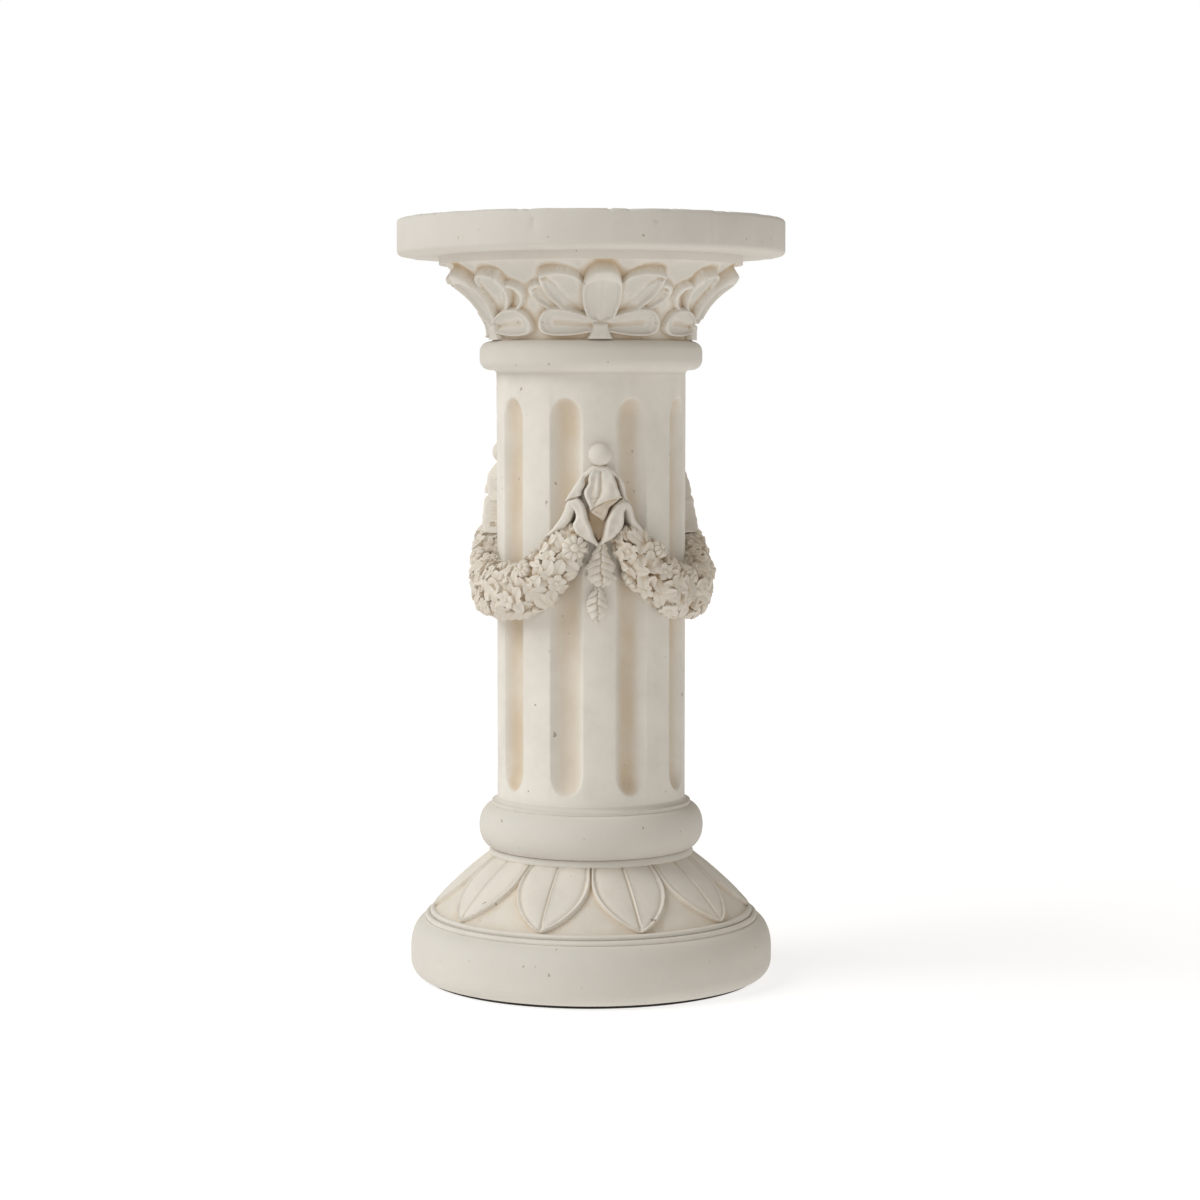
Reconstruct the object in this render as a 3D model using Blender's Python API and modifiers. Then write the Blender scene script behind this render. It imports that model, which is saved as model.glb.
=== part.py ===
"""Cast-stone pedestal column, modelled as one casting on a thin dark pad.

A round slab stands on a bell capital with five lotus palmettes. Below it are a rounded collar, a
shaft with nine flutes and three flower swags, a second collar, and a spreading base with ten leaves.
Metres, +Z up. The origin is the middle of the pad's underside, and one swag knot faces -Y.
"""

import math

import bmesh
import bpy
from mathutils import Vector

COLLECTION_NAME = "pedestal column"
CUTTERS_NAME = "flute cutters"
HELPERS_NAME = "carving helpers"

# The pad under the base
PAD_RADIUS = 0.1680
PAD_THICKNESS = 0.003
PAD_CLEARANCE = 0.0003

# The base: a heavy roll, a bead, a leafed slope and a neck fillet
BASE_RADIUS = 0.1826
BASE_ROLL_HEIGHT = 0.0575
BASE_EDGE_RISE = 0.016
BASE_EDGE_INSET = 0.011
BASE_SHOULDER_RISE = 0.030
BEAD_RADIUS = 0.1650
BEAD_HEIGHT = 0.006
BEAD_RELIEF = 0.003
SLOPE_HEIGHT = 0.0577
SLOPE_FOOT_RADIUS = 0.159
SLOPE_NECK_RADIUS = 0.0968
SLOPE_BULGE = 0.004
NECK_FILLET_HEIGHT = 0.007
NECK_FILLET_RELIEF = 0.0006

# The two collars and the shaft
LOWER_COLLAR_RADIUS = 0.1130
LOWER_COLLAR_HEIGHT = 0.0438
SHAFT_RADIUS = 0.0946
SHAFT_HEIGHT = 0.4355
SHAFT_COVE = 0.004
UPPER_COLLAR_RADIUS = 0.1113
UPPER_COLLAR_HEIGHT = 0.0285
UPPER_COLLAR_ROUND = 0.0105

# The capital and the slab
BELL_HEIGHT = 0.0757
BELL_FOOT_RADIUS = 0.0985
BELL_TOP_RADIUS = 0.1455
BELL_WAIST_RISE = 0.037
BELL_WAIST_SHARE = 0.03
FILLET_RADIUS = 0.1515
FILLET_HEIGHT = 0.008
SLAB_RADIUS = 0.1940
SLAB_THICKNESS = 0.037
SLAB_TOP_ROUND = 0.004
SLAB_UNDER_ROUND = 0.010

# The flutes
FLUTE_COUNT = 9
FLUTE_WIDTH = 0.0335
FLUTE_DEPTH = 0.009
FLUTE_TOP_MARGIN = 0.0265
FLUTE_FOOT_MARGIN = 0.0170
FLUTE_END_STRETCH = 1.35

# The leaves of the base. The shares are of a leaf's length, and of its relief.
LEAF_COUNT = 10
LEAF_TURN = math.radians(12.9)
LEAF_TIP_INSET = 0.004
LEAF_TIP_HALF_WIDTH = 0.0012
LEAF_RELIEF = 0.0032
LEAF_GAP = 0.0012
LEAF_ROOT_SHARE = 0.02
LEAF_STRAIGHT_SHARE = 0.2
LEAF_TAPER_POWER = 0.75
LEAF_EDGE_SHARE = 0.55
LEAF_RIB_SHARE = 0.35

# The palmettes of the capital. The shares are of a petal's half width, of its relief, and of the bell.
PALMETTE_COUNT = 5
PETAL_RELIEF = 0.0042
PETAL_CURL = 0.0075
LOBE_RELIEF = 0.0050
PETAL_TIP_SHARE = 0.15
PETAL_STEM_SHARE = 0.28
PETAL_HOLLOW_SHARE = 0.55
BELL_EDGE_SHARE = 0.004

# The swags, their knots and their drops. The shares are of how proud a form stands.
SWAG_COUNT = 3
SWAG_LOW_HEIGHT = 0.217
SWAG_SAG = 0.059
SWAG_SAG_POWER = 2.5
SWAG_THICKNESS = 0.050
SWAG_END_THICKNESS = 0.034
SWAG_PROUD = 0.027
SWAG_SPREAD = math.radians(92.0)
SWAG_WRAP = math.radians(105.0)
SWAG_MIDDLE_SHARE = 0.4
SWAG_ROOT_SHARE = 0.8
FLOWERS_PER_SWAG = 5
FLOWER_RADIUS = 0.014
FLOWER_PROUD = 0.0045
FLOWER_REACH = 0.84
FLOWER_RISE = math.radians(33.0)
FOLD_LAP = 0.0008
FOLD_EDGE_SHARE = 0.35
RIBBON_SINK = 0.003
RIBBON_SQUASH = 0.8
BALL_RADIUS = 0.011
BALL_ABOVE_SWAG = 0.136
BALL_PROUD = 0.015

# How finely the round forms are faceted
TURN_STEPS = 32
# The turned facets start off the carving's own planes, so that no edges coincide
TURN_START = math.radians(3.0)
# Steps along the profile's small rounds, and along its bell and slope
ROUND_STEPS = 2
SWEEP_STEPS = 3
# The collar's and the shoulder's arcs, as degrees from outward, and their steps
LOWER_COLLAR_SWEEP = 80
LOWER_COLLAR_STEPS = 5
SHOULDER_SWEEP = 70
SHOULDER_STEPS = 3
FLUTE_FACETS = 18
FLUTE_RINGS = 8
LEAF_CELLS = (4, 3)
SWAG_CELLS = (4, 8)
FLOWER_FACETS = (7, 4)
RIBBON_SIDES = 6
BALL_FACETS = (8, 6)
EMBED = 0.006
WELD_DISTANCE = 0.00005
TANGENT_STEP = 0.001

STONE_COLOUR = (0.735, 0.685, 0.615, 1.0)
STONE_ROUGHNESS = 0.9
PAD_COLOUR = (0.020, 0.016, 0.013, 1.0)
PAD_ROUGHNESS = 0.95

# Heights of the levels, stacked from the floor up
BASE_BOTTOM = PAD_THICKNESS + PAD_CLEARANCE
ROLL_TOP = BASE_BOTTOM + BASE_ROLL_HEIGHT
SLOPE_FOOT = ROLL_TOP + BEAD_HEIGHT
SLOPE_NECK = SLOPE_FOOT + SLOPE_HEIGHT
LOWER_COLLAR_BOTTOM = SLOPE_NECK + NECK_FILLET_HEIGHT
SHAFT_BOTTOM = LOWER_COLLAR_BOTTOM + LOWER_COLLAR_HEIGHT
SHAFT_TOP = SHAFT_BOTTOM + SHAFT_HEIGHT
BELL_FOOT = SHAFT_TOP + UPPER_COLLAR_HEIGHT
BELL_TOP = BELL_FOOT + BELL_HEIGHT
SLAB_BOTTOM = BELL_TOP + FILLET_HEIGHT
SLAB_TOP = SLAB_BOTTOM + SLAB_THICKNESS
SWAG_LOW = SHAFT_BOTTOM + SWAG_LOW_HEIGHT


def clear_scene():
    for thing in list(bpy.data.objects):
        bpy.data.objects.remove(thing)


def new_collection(name):
    collection = bpy.data.collections.new(name)
    bpy.context.scene.collection.children.link(collection)
    return collection


def material(name, colour, roughness):
    made = bpy.data.materials.new(name)
    made.use_nodes = True
    shader = made.node_tree.nodes["Principled BSDF"]
    shader.inputs["Base Color"].default_value = colour
    shader.inputs["Roughness"].default_value = roughness
    shader.inputs["Metallic"].default_value = 0.0
    return made


def link_mesh(name, mesh, collection):
    thing = bpy.data.objects.new(name, mesh)
    collection.objects.link(thing)
    return thing


def link_bmesh(name, form, collection):
    bmesh.ops.recalc_face_normals(form, faces=form.faces)
    if form.calc_volume(signed=True) < 0:
        bmesh.ops.reverse_faces(form, faces=form.faces)
    mesh = bpy.data.meshes.new(name)
    form.to_mesh(mesh)
    form.free()
    return link_mesh(name, mesh, collection)


def oval_arc(centre, size, start, end, steps):
    """Points of an upright oval arc in the profile plane, with angles in degrees from outward."""
    angles = [math.radians(start + (end - start) * i / steps) for i in range(steps + 1)]
    return [(centre[0] + size[0] * math.cos(a), centre[1] + size[1] * math.sin(a)) for a in angles]


def bell_curve(along):
    """(radius, height) of the capital's bell, from its foot at 0 to its top at 1."""
    waist_radius = BELL_FOOT_RADIUS + BELL_WAIST_SHARE * (BELL_TOP_RADIUS - BELL_FOOT_RADIUS)
    foot, waist, top = (
        (BELL_FOOT_RADIUS, BELL_FOOT),
        (waist_radius, BELL_FOOT + BELL_WAIST_RISE),
        (BELL_TOP_RADIUS, BELL_TOP),
    )
    a, b, c = (1 - along) ** 2, 2 * along * (1 - along), along**2
    return tuple(a * foot[i] + b * waist[i] + c * top[i] for i in range(2))


def slope_curve(along):
    """(radius, height) of the base's slope, from its neck at 0 to its foot at 1."""
    radius = SLOPE_NECK_RADIUS + (SLOPE_FOOT_RADIUS - SLOPE_NECK_RADIUS) * along
    height = SLOPE_NECK - SLOPE_HEIGHT * along
    return radius, height + SLOPE_BULGE * math.sin(math.pi * along)


def slab_profile():
    top, under = SLAB_TOP_ROUND, SLAB_UNDER_ROUND
    edge = oval_arc((SLAB_RADIUS - top, SLAB_TOP - top), (top, top), 90, 0, ROUND_STEPS)
    edge += oval_arc((SLAB_RADIUS - under, SLAB_BOTTOM + under), (under, under), 0, -90, ROUND_STEPS)
    return [(0, SLAB_TOP)] + edge


def capital_profile():
    fillet = [(FILLET_RADIUS, SLAB_BOTTOM), (FILLET_RADIUS, BELL_TOP)]
    return fillet + [bell_curve(1 - i / SWEEP_STEPS) for i in range(SWEEP_STEPS + 1)]


def upper_collar_profile():
    round_ = UPPER_COLLAR_ROUND
    middle = UPPER_COLLAR_RADIUS - round_
    upper = oval_arc((middle, BELL_FOOT - round_), (round_, round_), 90, 0, ROUND_STEPS)
    return upper + oval_arc((middle, SHAFT_TOP + round_), (round_, round_), 0, -90, ROUND_STEPS)


def shaft_profile():
    cove = SHAFT_COVE
    top = [(SHAFT_RADIUS + cove, SHAFT_TOP), (SHAFT_RADIUS, SHAFT_TOP - cove)]
    return top + [(SHAFT_RADIUS, SHAFT_BOTTOM + cove), (SHAFT_RADIUS + cove, SHAFT_BOTTOM)]


def lower_collar_profile():
    inner = SHAFT_RADIUS + SHAFT_COVE
    half = LOWER_COLLAR_HEIGHT / 2
    middle = (inner, LOWER_COLLAR_BOTTOM + half)
    size = (LOWER_COLLAR_RADIUS - inner, half)
    return oval_arc(middle, size, LOWER_COLLAR_SWEEP, -LOWER_COLLAR_SWEEP, LOWER_COLLAR_STEPS)


def base_profile():
    fillet = SLOPE_NECK_RADIUS + NECK_FILLET_RELIEF
    neck = [(fillet, LOWER_COLLAR_BOTTOM), (fillet, SLOPE_NECK)]
    slope = [slope_curve(i / SWEEP_STEPS) for i in range(SWEEP_STEPS + 1)]
    bead_middle = ((SLOPE_FOOT_RADIUS + BEAD_RADIUS) / 2, SLOPE_FOOT - BEAD_HEIGHT / 2)
    bead = [(bead_middle[0] + BEAD_RELIEF / 2, bead_middle[1] + BEAD_RELIEF), (BEAD_RADIUS, ROLL_TOP)]
    shoulder_centre = (BEAD_RADIUS, ROLL_TOP - BASE_SHOULDER_RISE)
    shoulder_size = (BASE_RADIUS - BEAD_RADIUS, BASE_SHOULDER_RISE)
    shoulder = oval_arc(shoulder_centre, shoulder_size, SHOULDER_SWEEP, 0, SHOULDER_STEPS)
    edge_centre = (BASE_RADIUS - BASE_EDGE_INSET, BASE_BOTTOM + BASE_EDGE_RISE)
    edge = oval_arc(edge_centre, (BASE_EDGE_INSET, BASE_EDGE_RISE), 0, -90, ROUND_STEPS)
    return neck + slope + bead + shoulder + edge + [(0, BASE_BOTTOM)]


def turned(name, profile, collection):
    """A solid of revolution about Z from a profile that runs down its outer side."""
    mesh = bpy.data.meshes.new(name)
    edges = [(i, i + 1) for i in range(len(profile) - 1)]
    mesh.from_pydata([(radius, 0, height) for radius, height in profile], edges, [])
    thing = link_mesh(name, mesh, collection)
    screw = thing.modifiers.new("Screw", "SCREW")
    screw.steps = screw.render_steps = TURN_STEPS
    screw.use_merge_vertices = True
    screw.merge_threshold = 0.0001
    screw.use_smooth_shade = False
    thing.rotation_euler.z = TURN_START
    return thing


def around(angle, radius, height):
    """The point at an angle from the front, which is -Y, turning towards +X."""
    return Vector((radius * math.sin(angle), -radius * math.cos(angle), height))


def lifted(curve, along, angle, lift):
    """A point of the turned surface under curve, moved out along its normal by lift."""
    before, after = curve(along - TANGENT_STEP), curve(along + TANGENT_STEP)
    tangent = Vector((after[0] - before[0], after[1] - before[1])).normalized()
    outward = Vector((tangent.y, -tangent.x))
    if outward.x < 0:
        outward.negate()
    radius, height = curve(along)
    return around(angle, radius + outward.x * lift, height + outward.y * lift)


def relief(name, cells, outer, inner, collection):
    """A carved piece: a subdivided block bent between an outer and an inner surface.

    cells is (across, along). outer and inner take across from -1 to 1 and along from 0 to 1.
    """
    form = bmesh.new()
    bmesh.ops.create_grid(form, x_segments=cells[0], y_segments=cells[1], size=1)
    raised = bmesh.ops.extrude_face_region(form, geom=form.faces[:])["geom"]
    raised_vertices = {part for part in raised if isinstance(part, bmesh.types.BMVert)}
    for vertex in form.verts:
        across, along = vertex.co.x, (vertex.co.y + 1) / 2
        surface = outer if vertex in raised_vertices else inner
        vertex.co = surface(across, along)
    return link_bmesh(name, form, collection)


def base_leaf(index, collection):
    """A pointed leaf down the slope, with a crowned blade on each side of its sunk midrib."""
    middle = LEAF_TURN + 2 * math.pi * index / LEAF_COUNT
    slant = math.hypot(SLOPE_FOOT_RADIUS - SLOPE_NECK_RADIUS, SLOPE_HEIGHT)
    reach = 1 - LEAF_TIP_INSET / slant
    neighbour = math.pi / LEAF_COUNT

    def place(across, along, lift):
        down = LEAF_ROOT_SHARE + (reach - LEAF_ROOT_SHARE) * along
        radius = slope_curve(down)[0]
        widest = neighbour - LEAF_GAP / 2 / radius
        tapered = max(0.0, along - LEAF_STRAIGHT_SHARE) / (1 - LEAF_STRAIGHT_SHARE)
        taper = max(0.0, math.cos(tapered * math.pi / 2)) ** LEAF_TAPER_POWER
        half = max(widest * taper, LEAF_TIP_HALF_WIDTH / radius)
        return lifted(slope_curve, down, middle - across * half, lift)

    def outer(across, along):
        crown = LEAF_EDGE_SHARE + (1 - LEAF_EDGE_SHARE) * math.sin(math.pi * abs(across))
        on_rib = abs(across) < 1 / LEAF_CELLS[0]
        return place(across, along, LEAF_RELIEF * (LEAF_RIB_SHARE if on_rib else crown))

    return relief(f"leaf_{index}", LEAF_CELLS, outer, lambda a, b: place(a, b, -EMBED), collection)


# Each petal of a palmette: where its root sits across and above the bell's foot, which way it
# leans from upright, its length, its half width, and how far along it is widest.
PALMETTE_PETALS = {
    "heart": ((0.000, 0.012), 0, 0.077, 0.0195, 0.66),
    "upper_left": ((-0.013, 0.021), 36, 0.079, 0.0155, 0.68),
    "upper_right": ((0.013, 0.021), -36, 0.079, 0.0155, 0.68),
    "side_left": ((-0.015, 0.016), 56, 0.062, 0.0110, 0.70),
    "side_right": ((0.015, 0.016), -56, 0.062, 0.0110, 0.70),
    "lobe_left": ((-0.007, 0.0105), 88, 0.0545, 0.0125, 0.60),
    "lobe_right": ((0.007, 0.0105), -88, 0.0545, 0.0125, 0.60),
    "knob": ((0.000, 0.001), 0, 0.016, 0.0120, 0.10),
}
# How proud each kind stands, how far its tip curls as a share of PETAL_CURL, and its cells
PETAL_KINDS = {
    "heart": (PETAL_RELIEF, 1.0, (2, 4)),
    "upper": (PETAL_RELIEF, 0.8, (2, 4)),
    "side": (PETAL_RELIEF, 0.4, (2, 3)),
    "lobe": (LOBE_RELIEF, 0.0, (2, 3)),
    "knob": (LOBE_RELIEF, 0.0, (1, 1)),
}


def bell_length(steps=24):
    points = [Vector(bell_curve(i / steps)) for i in range(steps + 1)]
    return sum((b - a).length for a, b in zip(points, points[1:]))


def petal(name, middle, shape, kind, collection):
    """A spoon-shaped petal on the bell, hollow in the middle and curling out at its tip."""
    root, lean, length, half_width, widest = shape
    rise, curl_share, cells = kind
    lean = math.radians(lean)
    whole = bell_length()

    def place(across, along, lift):
        along = math.sin(along * math.pi / 2)
        if along > widest:
            swell = math.sqrt(1 - ((along - widest) / (1 - widest)) ** 2)
        else:
            swell = PETAL_STEM_SHARE + (1 - PETAL_STEM_SHARE) * math.sin(math.pi / 2 * along / widest)
        x, y = across * half_width * max(PETAL_TIP_SHARE, swell), along * length
        chart_x = root[0] + x * math.cos(lean) - y * math.sin(lean)
        chart_y = root[1] + x * math.sin(lean) + y * math.cos(lean)
        up = min(max(chart_y / whole, BELL_EDGE_SHARE), 1 - BELL_EDGE_SHARE)
        return lifted(bell_curve, up, middle + chart_x / bell_curve(up)[0], lift)

    def outer(across, along):
        edge = max(abs(across), along) ** 3
        thick = PETAL_HOLLOW_SHARE + (1 - PETAL_HOLLOW_SHARE) * edge
        return place(across, along, rise * thick + PETAL_CURL * curl_share * along**3)

    return relief(name, cells, outer, lambda a, b: place(a, b, -EMBED), collection)


def palmette(index, collection):
    middle = 2 * math.pi * index / PALMETTE_COUNT
    for name, shape in PALMETTE_PETALS.items():
        kind = PETAL_KINDS[name.split("_")[0]]
        petal(f"{name}_{index}", middle, shape, kind, collection)


def flute_cutter(index, collection):
    """A long round-ended cutter, whose arc leaves a flute of the stated width and depth."""
    half = FLUTE_WIDTH / 2
    sagitta = FLUTE_DEPTH - SHAFT_RADIUS + math.sqrt(SHAFT_RADIUS**2 - half**2)
    radius = (half**2 + sagitta**2) / (2 * sagitta)
    reach = half * FLUTE_END_STRETCH
    low = SHAFT_BOTTOM + FLUTE_FOOT_MARGIN + reach
    high = SHAFT_TOP - FLUTE_TOP_MARGIN - reach
    form = bmesh.new()
    bmesh.ops.create_uvsphere(form, u_segments=FLUTE_FACETS, v_segments=FLUTE_RINGS, radius=radius)
    for vertex in form.verts:
        end = high if vertex.co.z > 0 else low
        vertex.co.z = vertex.co.z * FLUTE_END_STRETCH + end
    thing = link_bmesh(f"flute_{index}", form, collection)
    angle = 2 * math.pi * (index + 0.5) / FLUTE_COUNT
    thing.location = around(angle, SHAFT_RADIUS - FLUTE_DEPTH + radius, 0)
    thing.rotation_euler.z = angle + math.pi / FLUTE_FACETS


def on_shaft(across, height, proud):
    """A point beside a knot's middle line, measured round the shaft, at a height above the swag's low."""
    return around(across / SHAFT_RADIUS, SHAFT_RADIUS + proud, SWAG_LOW + height)


def turned_by(points, angle):
    cos, sin = math.cos(angle), math.sin(angle)
    return [Vector((p.x * cos - p.y * sin, p.x * sin + p.y * cos, p.z)) for p in points]


def tube(name, points, radii, collection):
    """A tapered tube through points, as a closed mesh, thinned across the shaft's radius."""
    curve = bpy.data.curves.new(name, "CURVE")
    curve.dimensions = "3D"
    curve.bevel_depth = 1.0
    curve.bevel_resolution = (RIBBON_SIDES - 4) // 2
    curve.use_fill_caps = True
    curve.twist_mode = "Z_UP"
    line = curve.splines.new("POLY")
    line.points.add(len(points) - 1)
    for spot, point, radius in zip(line.points, points, radii):
        spot.co = (*point, 1)
        spot.radius = radius
    guide = link_mesh(name + "_guide", curve, collection)
    bpy.context.view_layer.update()
    graph = bpy.context.evaluated_depsgraph_get()
    mesh = bpy.data.meshes.new_from_object(guide.evaluated_get(graph))
    bpy.data.objects.remove(guide)
    form = bmesh.new()
    form.from_mesh(mesh)
    bmesh.ops.remove_doubles(form, verts=form.verts, dist=WELD_DISTANCE)
    for vertex in form.verts:
        near = min(points, key=lambda p: (p - vertex.co).length)
        outward = Vector((near.x, near.y, 0)).normalized()
        vertex.co -= outward * (vertex.co - near).dot(outward) * (1 - RIBBON_SQUASH)
    return link_bmesh(name, form, collection)


def swag_thickness(t):
    return SWAG_END_THICKNESS + (SWAG_THICKNESS - SWAG_END_THICKNESS) * (1 - t**4)


def swag_depth(t, wrap):
    """How far a swag stands off the shaft, at an angle round its own middle line."""
    proud = SWAG_PROUD * swag_thickness(t) / SWAG_THICKNESS
    return proud * (SWAG_MIDDLE_SHARE + (1 - SWAG_MIDDLE_SHARE) * math.cos(wrap))


def on_swag(middle, t, offset, radius):
    """A point at a radius, offset square to a swag's middle line at t, which runs from -1 to 1."""
    line_radius = SHAFT_RADIUS + SWAG_PROUD / 2
    rise = math.copysign(SWAG_SAG * SWAG_SAG_POWER * abs(t) ** (SWAG_SAG_POWER - 1), t)
    lean = math.atan2(rise, line_radius * SWAG_SPREAD / 2)
    height = SWAG_LOW + SWAG_SAG * abs(t) ** SWAG_SAG_POWER + offset * math.cos(lean)
    angle = SWAG_SPREAD / 2 * t - offset * math.sin(lean) / line_radius
    return around(middle + angle, radius, height)


def swag(index, collection):
    """One hanging swag, with flowers in two rows along its front."""
    middle = 2 * math.pi * (index + 0.5) / SWAG_COUNT

    def outer(across, along):
        t, wrap = 2 * along - 1, across * SWAG_WRAP
        offset = swag_thickness(t) / 2 * math.sin(wrap)
        return on_swag(middle, t, offset, SHAFT_RADIUS + swag_depth(t, wrap))

    def inner(across, along):
        t = 2 * along - 1
        offset = swag_thickness(t) / 2 * SWAG_ROOT_SHARE * across
        return on_swag(middle, t, offset, SHAFT_RADIUS - FLUTE_DEPTH - EMBED)

    relief(f"swag_{index}", SWAG_CELLS, outer, inner, collection)
    for k in range(FLOWERS_PER_SWAG):
        t = FLOWER_REACH * (2 * k / (FLOWERS_PER_SWAG - 1) - 1)
        wrap = -FLOWER_RISE if k % 2 else FLOWER_RISE
        offset = swag_thickness(t) / 2 * math.sin(wrap)
        radius = SHAFT_RADIUS + swag_depth(t, wrap) + FLOWER_PROUD - FLOWER_RADIUS
        form = bmesh.new()
        bmesh.ops.create_uvsphere(
            form, u_segments=FLOWER_FACETS[0], v_segments=FLOWER_FACETS[1], radius=FLOWER_RADIUS
        )
        flower = link_bmesh(f"flower_{index}_{k}", form, collection)
        flower.location = on_swag(middle, t, offset, radius)
        outward = math.atan2(flower.location.x, -flower.location.y)
        flower.rotation_euler = (math.pi / 2, 0, outward)


# A knot's left ribbons as (across, height above the swag's low, proud, half width), root to tip.
# The right ones are their mirror images.
UPPER_RIBBON = (
    (0.010, 0.121, 0.006, 0.0050),
    (0.020, 0.108, 0.009, 0.0055),
    (0.033, 0.088, 0.005, 0.0030),
)
LOWER_RIBBON = (
    (0.022, 0.106, 0.010, 0.0065),
    (0.036, 0.086, 0.013, 0.0065),
    (0.051, 0.058, 0.010, 0.0030),
)
# Folds of cloth and leaf down the middle as (height above the swag's low, offset, half width, proud)
UPPER_FOLD = (
    (0.127, 0.001, 0.011, 0.007),
    (0.110, 0.001, 0.018, 0.013),
    (0.090, 0.001, 0.018, 0.015),
    (0.073, 0.002, 0.006, 0.012),
)
TULIP_FOLD = (
    (0.106, 0.016, 0.009, 0.010),
    (0.086, 0.017, 0.011, 0.018),
    (0.064, 0.011, 0.010, 0.019),
    (0.048, 0.002, 0.004, 0.013),
)
DROP_LEAF = (
    (0.052, 0.0, 0.005, 0.008),
    (0.034, 0.0, 0.014, 0.011),
    (0.019, 0.0, 0.019, 0.010),
    (0.004, 0.0, 0.007, 0.007),
)
DROP_BUD = (
    (0.006, 0.0, 0.006, 0.006),
    (-0.007, 0.0, 0.012, 0.010),
    (-0.021, 0.0, 0.012, 0.010),
    (-0.032, 0.0, 0.005, 0.006),
)


def ribbon(name, side, line, turn, collection):
    points = turned_by([on_shaft(side * x, z, proud - RIBBON_SINK) for x, z, proud, _ in line], turn)
    return tube(name, points, [width for *_, width in line], collection)


def hanging_fold(name, side, rows, turn, collection):
    """A fold or leaf lofted down the shaft through rows of a height, an offset, a half width and a depth."""
    last = len(rows) - 1

    def row(along):
        return rows[last - round(along * last)]

    def outer(across, along):
        height, offset, half, proud = row(along)
        round_ = FOLD_EDGE_SHARE + (1 - FOLD_EDGE_SHARE) * math.sqrt(max(0.0, 1 - across**2))
        depth = proud * round_ + max(0, side) * FOLD_LAP
        return turned_by([on_shaft(side * (offset + across * half), height, depth)], turn)[0]

    def inner(across, along):
        height, offset, half, _ = row(along)
        return turned_by([on_shaft(side * (offset + across * half), height, -FLUTE_DEPTH - EMBED)], turn)[0]

    return relief(name, (4, last), outer, inner, collection)


def knot(index, collection):
    """A ball over draped ribbons and a tulip of cloth, with a leafy drop between the two swags."""
    turn = 2 * math.pi * index / SWAG_COUNT
    form = bmesh.new()
    bmesh.ops.create_uvsphere(form, u_segments=BALL_FACETS[0], v_segments=BALL_FACETS[1], radius=BALL_RADIUS)
    ball = link_bmesh(f"ball_{index}", form, collection)
    ball.location = turned_by([on_shaft(0, BALL_ABOVE_SWAG, BALL_PROUD - BALL_RADIUS)], turn)[0]
    for side, word in ((-1, "left"), (1, "right")):
        ribbon(f"upper_ribbon_{word}_{index}", side, UPPER_RIBBON, turn, collection)
        ribbon(f"lower_ribbon_{word}_{index}", side, LOWER_RIBBON, turn, collection)
        hanging_fold(f"tulip_{word}_{index}", side, TULIP_FOLD, turn, collection)
    hanging_fold(f"upper_fold_{index}", 1, UPPER_FOLD, turn, collection)
    hanging_fold(f"drop_leaf_{index}", 1, DROP_LEAF, turn, collection)
    hanging_fold(f"drop_bud_{index}", 1, DROP_BUD, turn, collection)


def boolean(thing, name, operation, collection):
    modifier = thing.modifiers.new(name, "BOOLEAN")
    modifier.operation = operation
    modifier.operand_type = "COLLECTION"
    modifier.collection = collection
    modifier.solver = "EXACT"
    return modifier


def hide_helpers(collection):
    for thing in collection.objects:
        thing.hide_render = True
        thing.display_type = "WIRE"


def main():
    clear_scene()
    parts = new_collection(COLLECTION_NAME)
    cutters = new_collection(CUTTERS_NAME)
    carvings = new_collection(HELPERS_NAME)

    profile = slab_profile() + capital_profile() + upper_collar_profile() + shaft_profile()
    profile += lower_collar_profile() + base_profile()
    column = turned("pedestal_column", profile, parts)
    column.data.materials.append(material("cast stone", STONE_COLOUR, STONE_ROUGHNESS))

    for index in range(FLUTE_COUNT):
        flute_cutter(index, cutters)
    for index in range(LEAF_COUNT):
        base_leaf(index, carvings)
    for index in range(PALMETTE_COUNT):
        palmette(index, carvings)
    for index in range(SWAG_COUNT):
        swag(index, carvings)
        knot(index, carvings)
    boolean(column, "Flutes", "DIFFERENCE", cutters)
    boolean(column, "Carving", "UNION", carvings)
    hide_helpers(cutters)
    hide_helpers(carvings)

    pad_profile = [(0, PAD_THICKNESS), (PAD_RADIUS, PAD_THICKNESS), (PAD_RADIUS, 0), (0, 0)]
    pad = turned("base_pad", pad_profile, parts)
    pad.data.materials.append(material("dark pad", PAD_COLOUR, PAD_ROUGHNESS))


main()
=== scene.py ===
import math

import bpy
import numpy as np
from mathutils import Matrix
from mathutils import Vector


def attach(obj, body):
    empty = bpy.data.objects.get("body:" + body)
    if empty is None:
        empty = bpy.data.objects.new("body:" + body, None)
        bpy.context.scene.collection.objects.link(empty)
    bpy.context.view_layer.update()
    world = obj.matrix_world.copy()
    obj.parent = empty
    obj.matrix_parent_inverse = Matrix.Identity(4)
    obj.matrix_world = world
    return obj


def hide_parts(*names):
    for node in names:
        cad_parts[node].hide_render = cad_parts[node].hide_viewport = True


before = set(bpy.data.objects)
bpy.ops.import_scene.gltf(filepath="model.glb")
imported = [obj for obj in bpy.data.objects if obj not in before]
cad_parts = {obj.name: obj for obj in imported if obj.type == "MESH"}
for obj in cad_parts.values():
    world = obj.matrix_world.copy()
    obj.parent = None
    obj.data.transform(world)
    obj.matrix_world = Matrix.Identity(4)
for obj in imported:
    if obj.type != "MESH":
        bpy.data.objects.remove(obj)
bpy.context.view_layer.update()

# Driving dimensions, in metres. Heights are stacked from the floor up.
PAD_RADIUS = 0.1680
PAD_THICKNESS = 0.003
PAD_CLEARANCE = 0.0003
PAD_EDGE_ROUND = 0.0008

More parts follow.
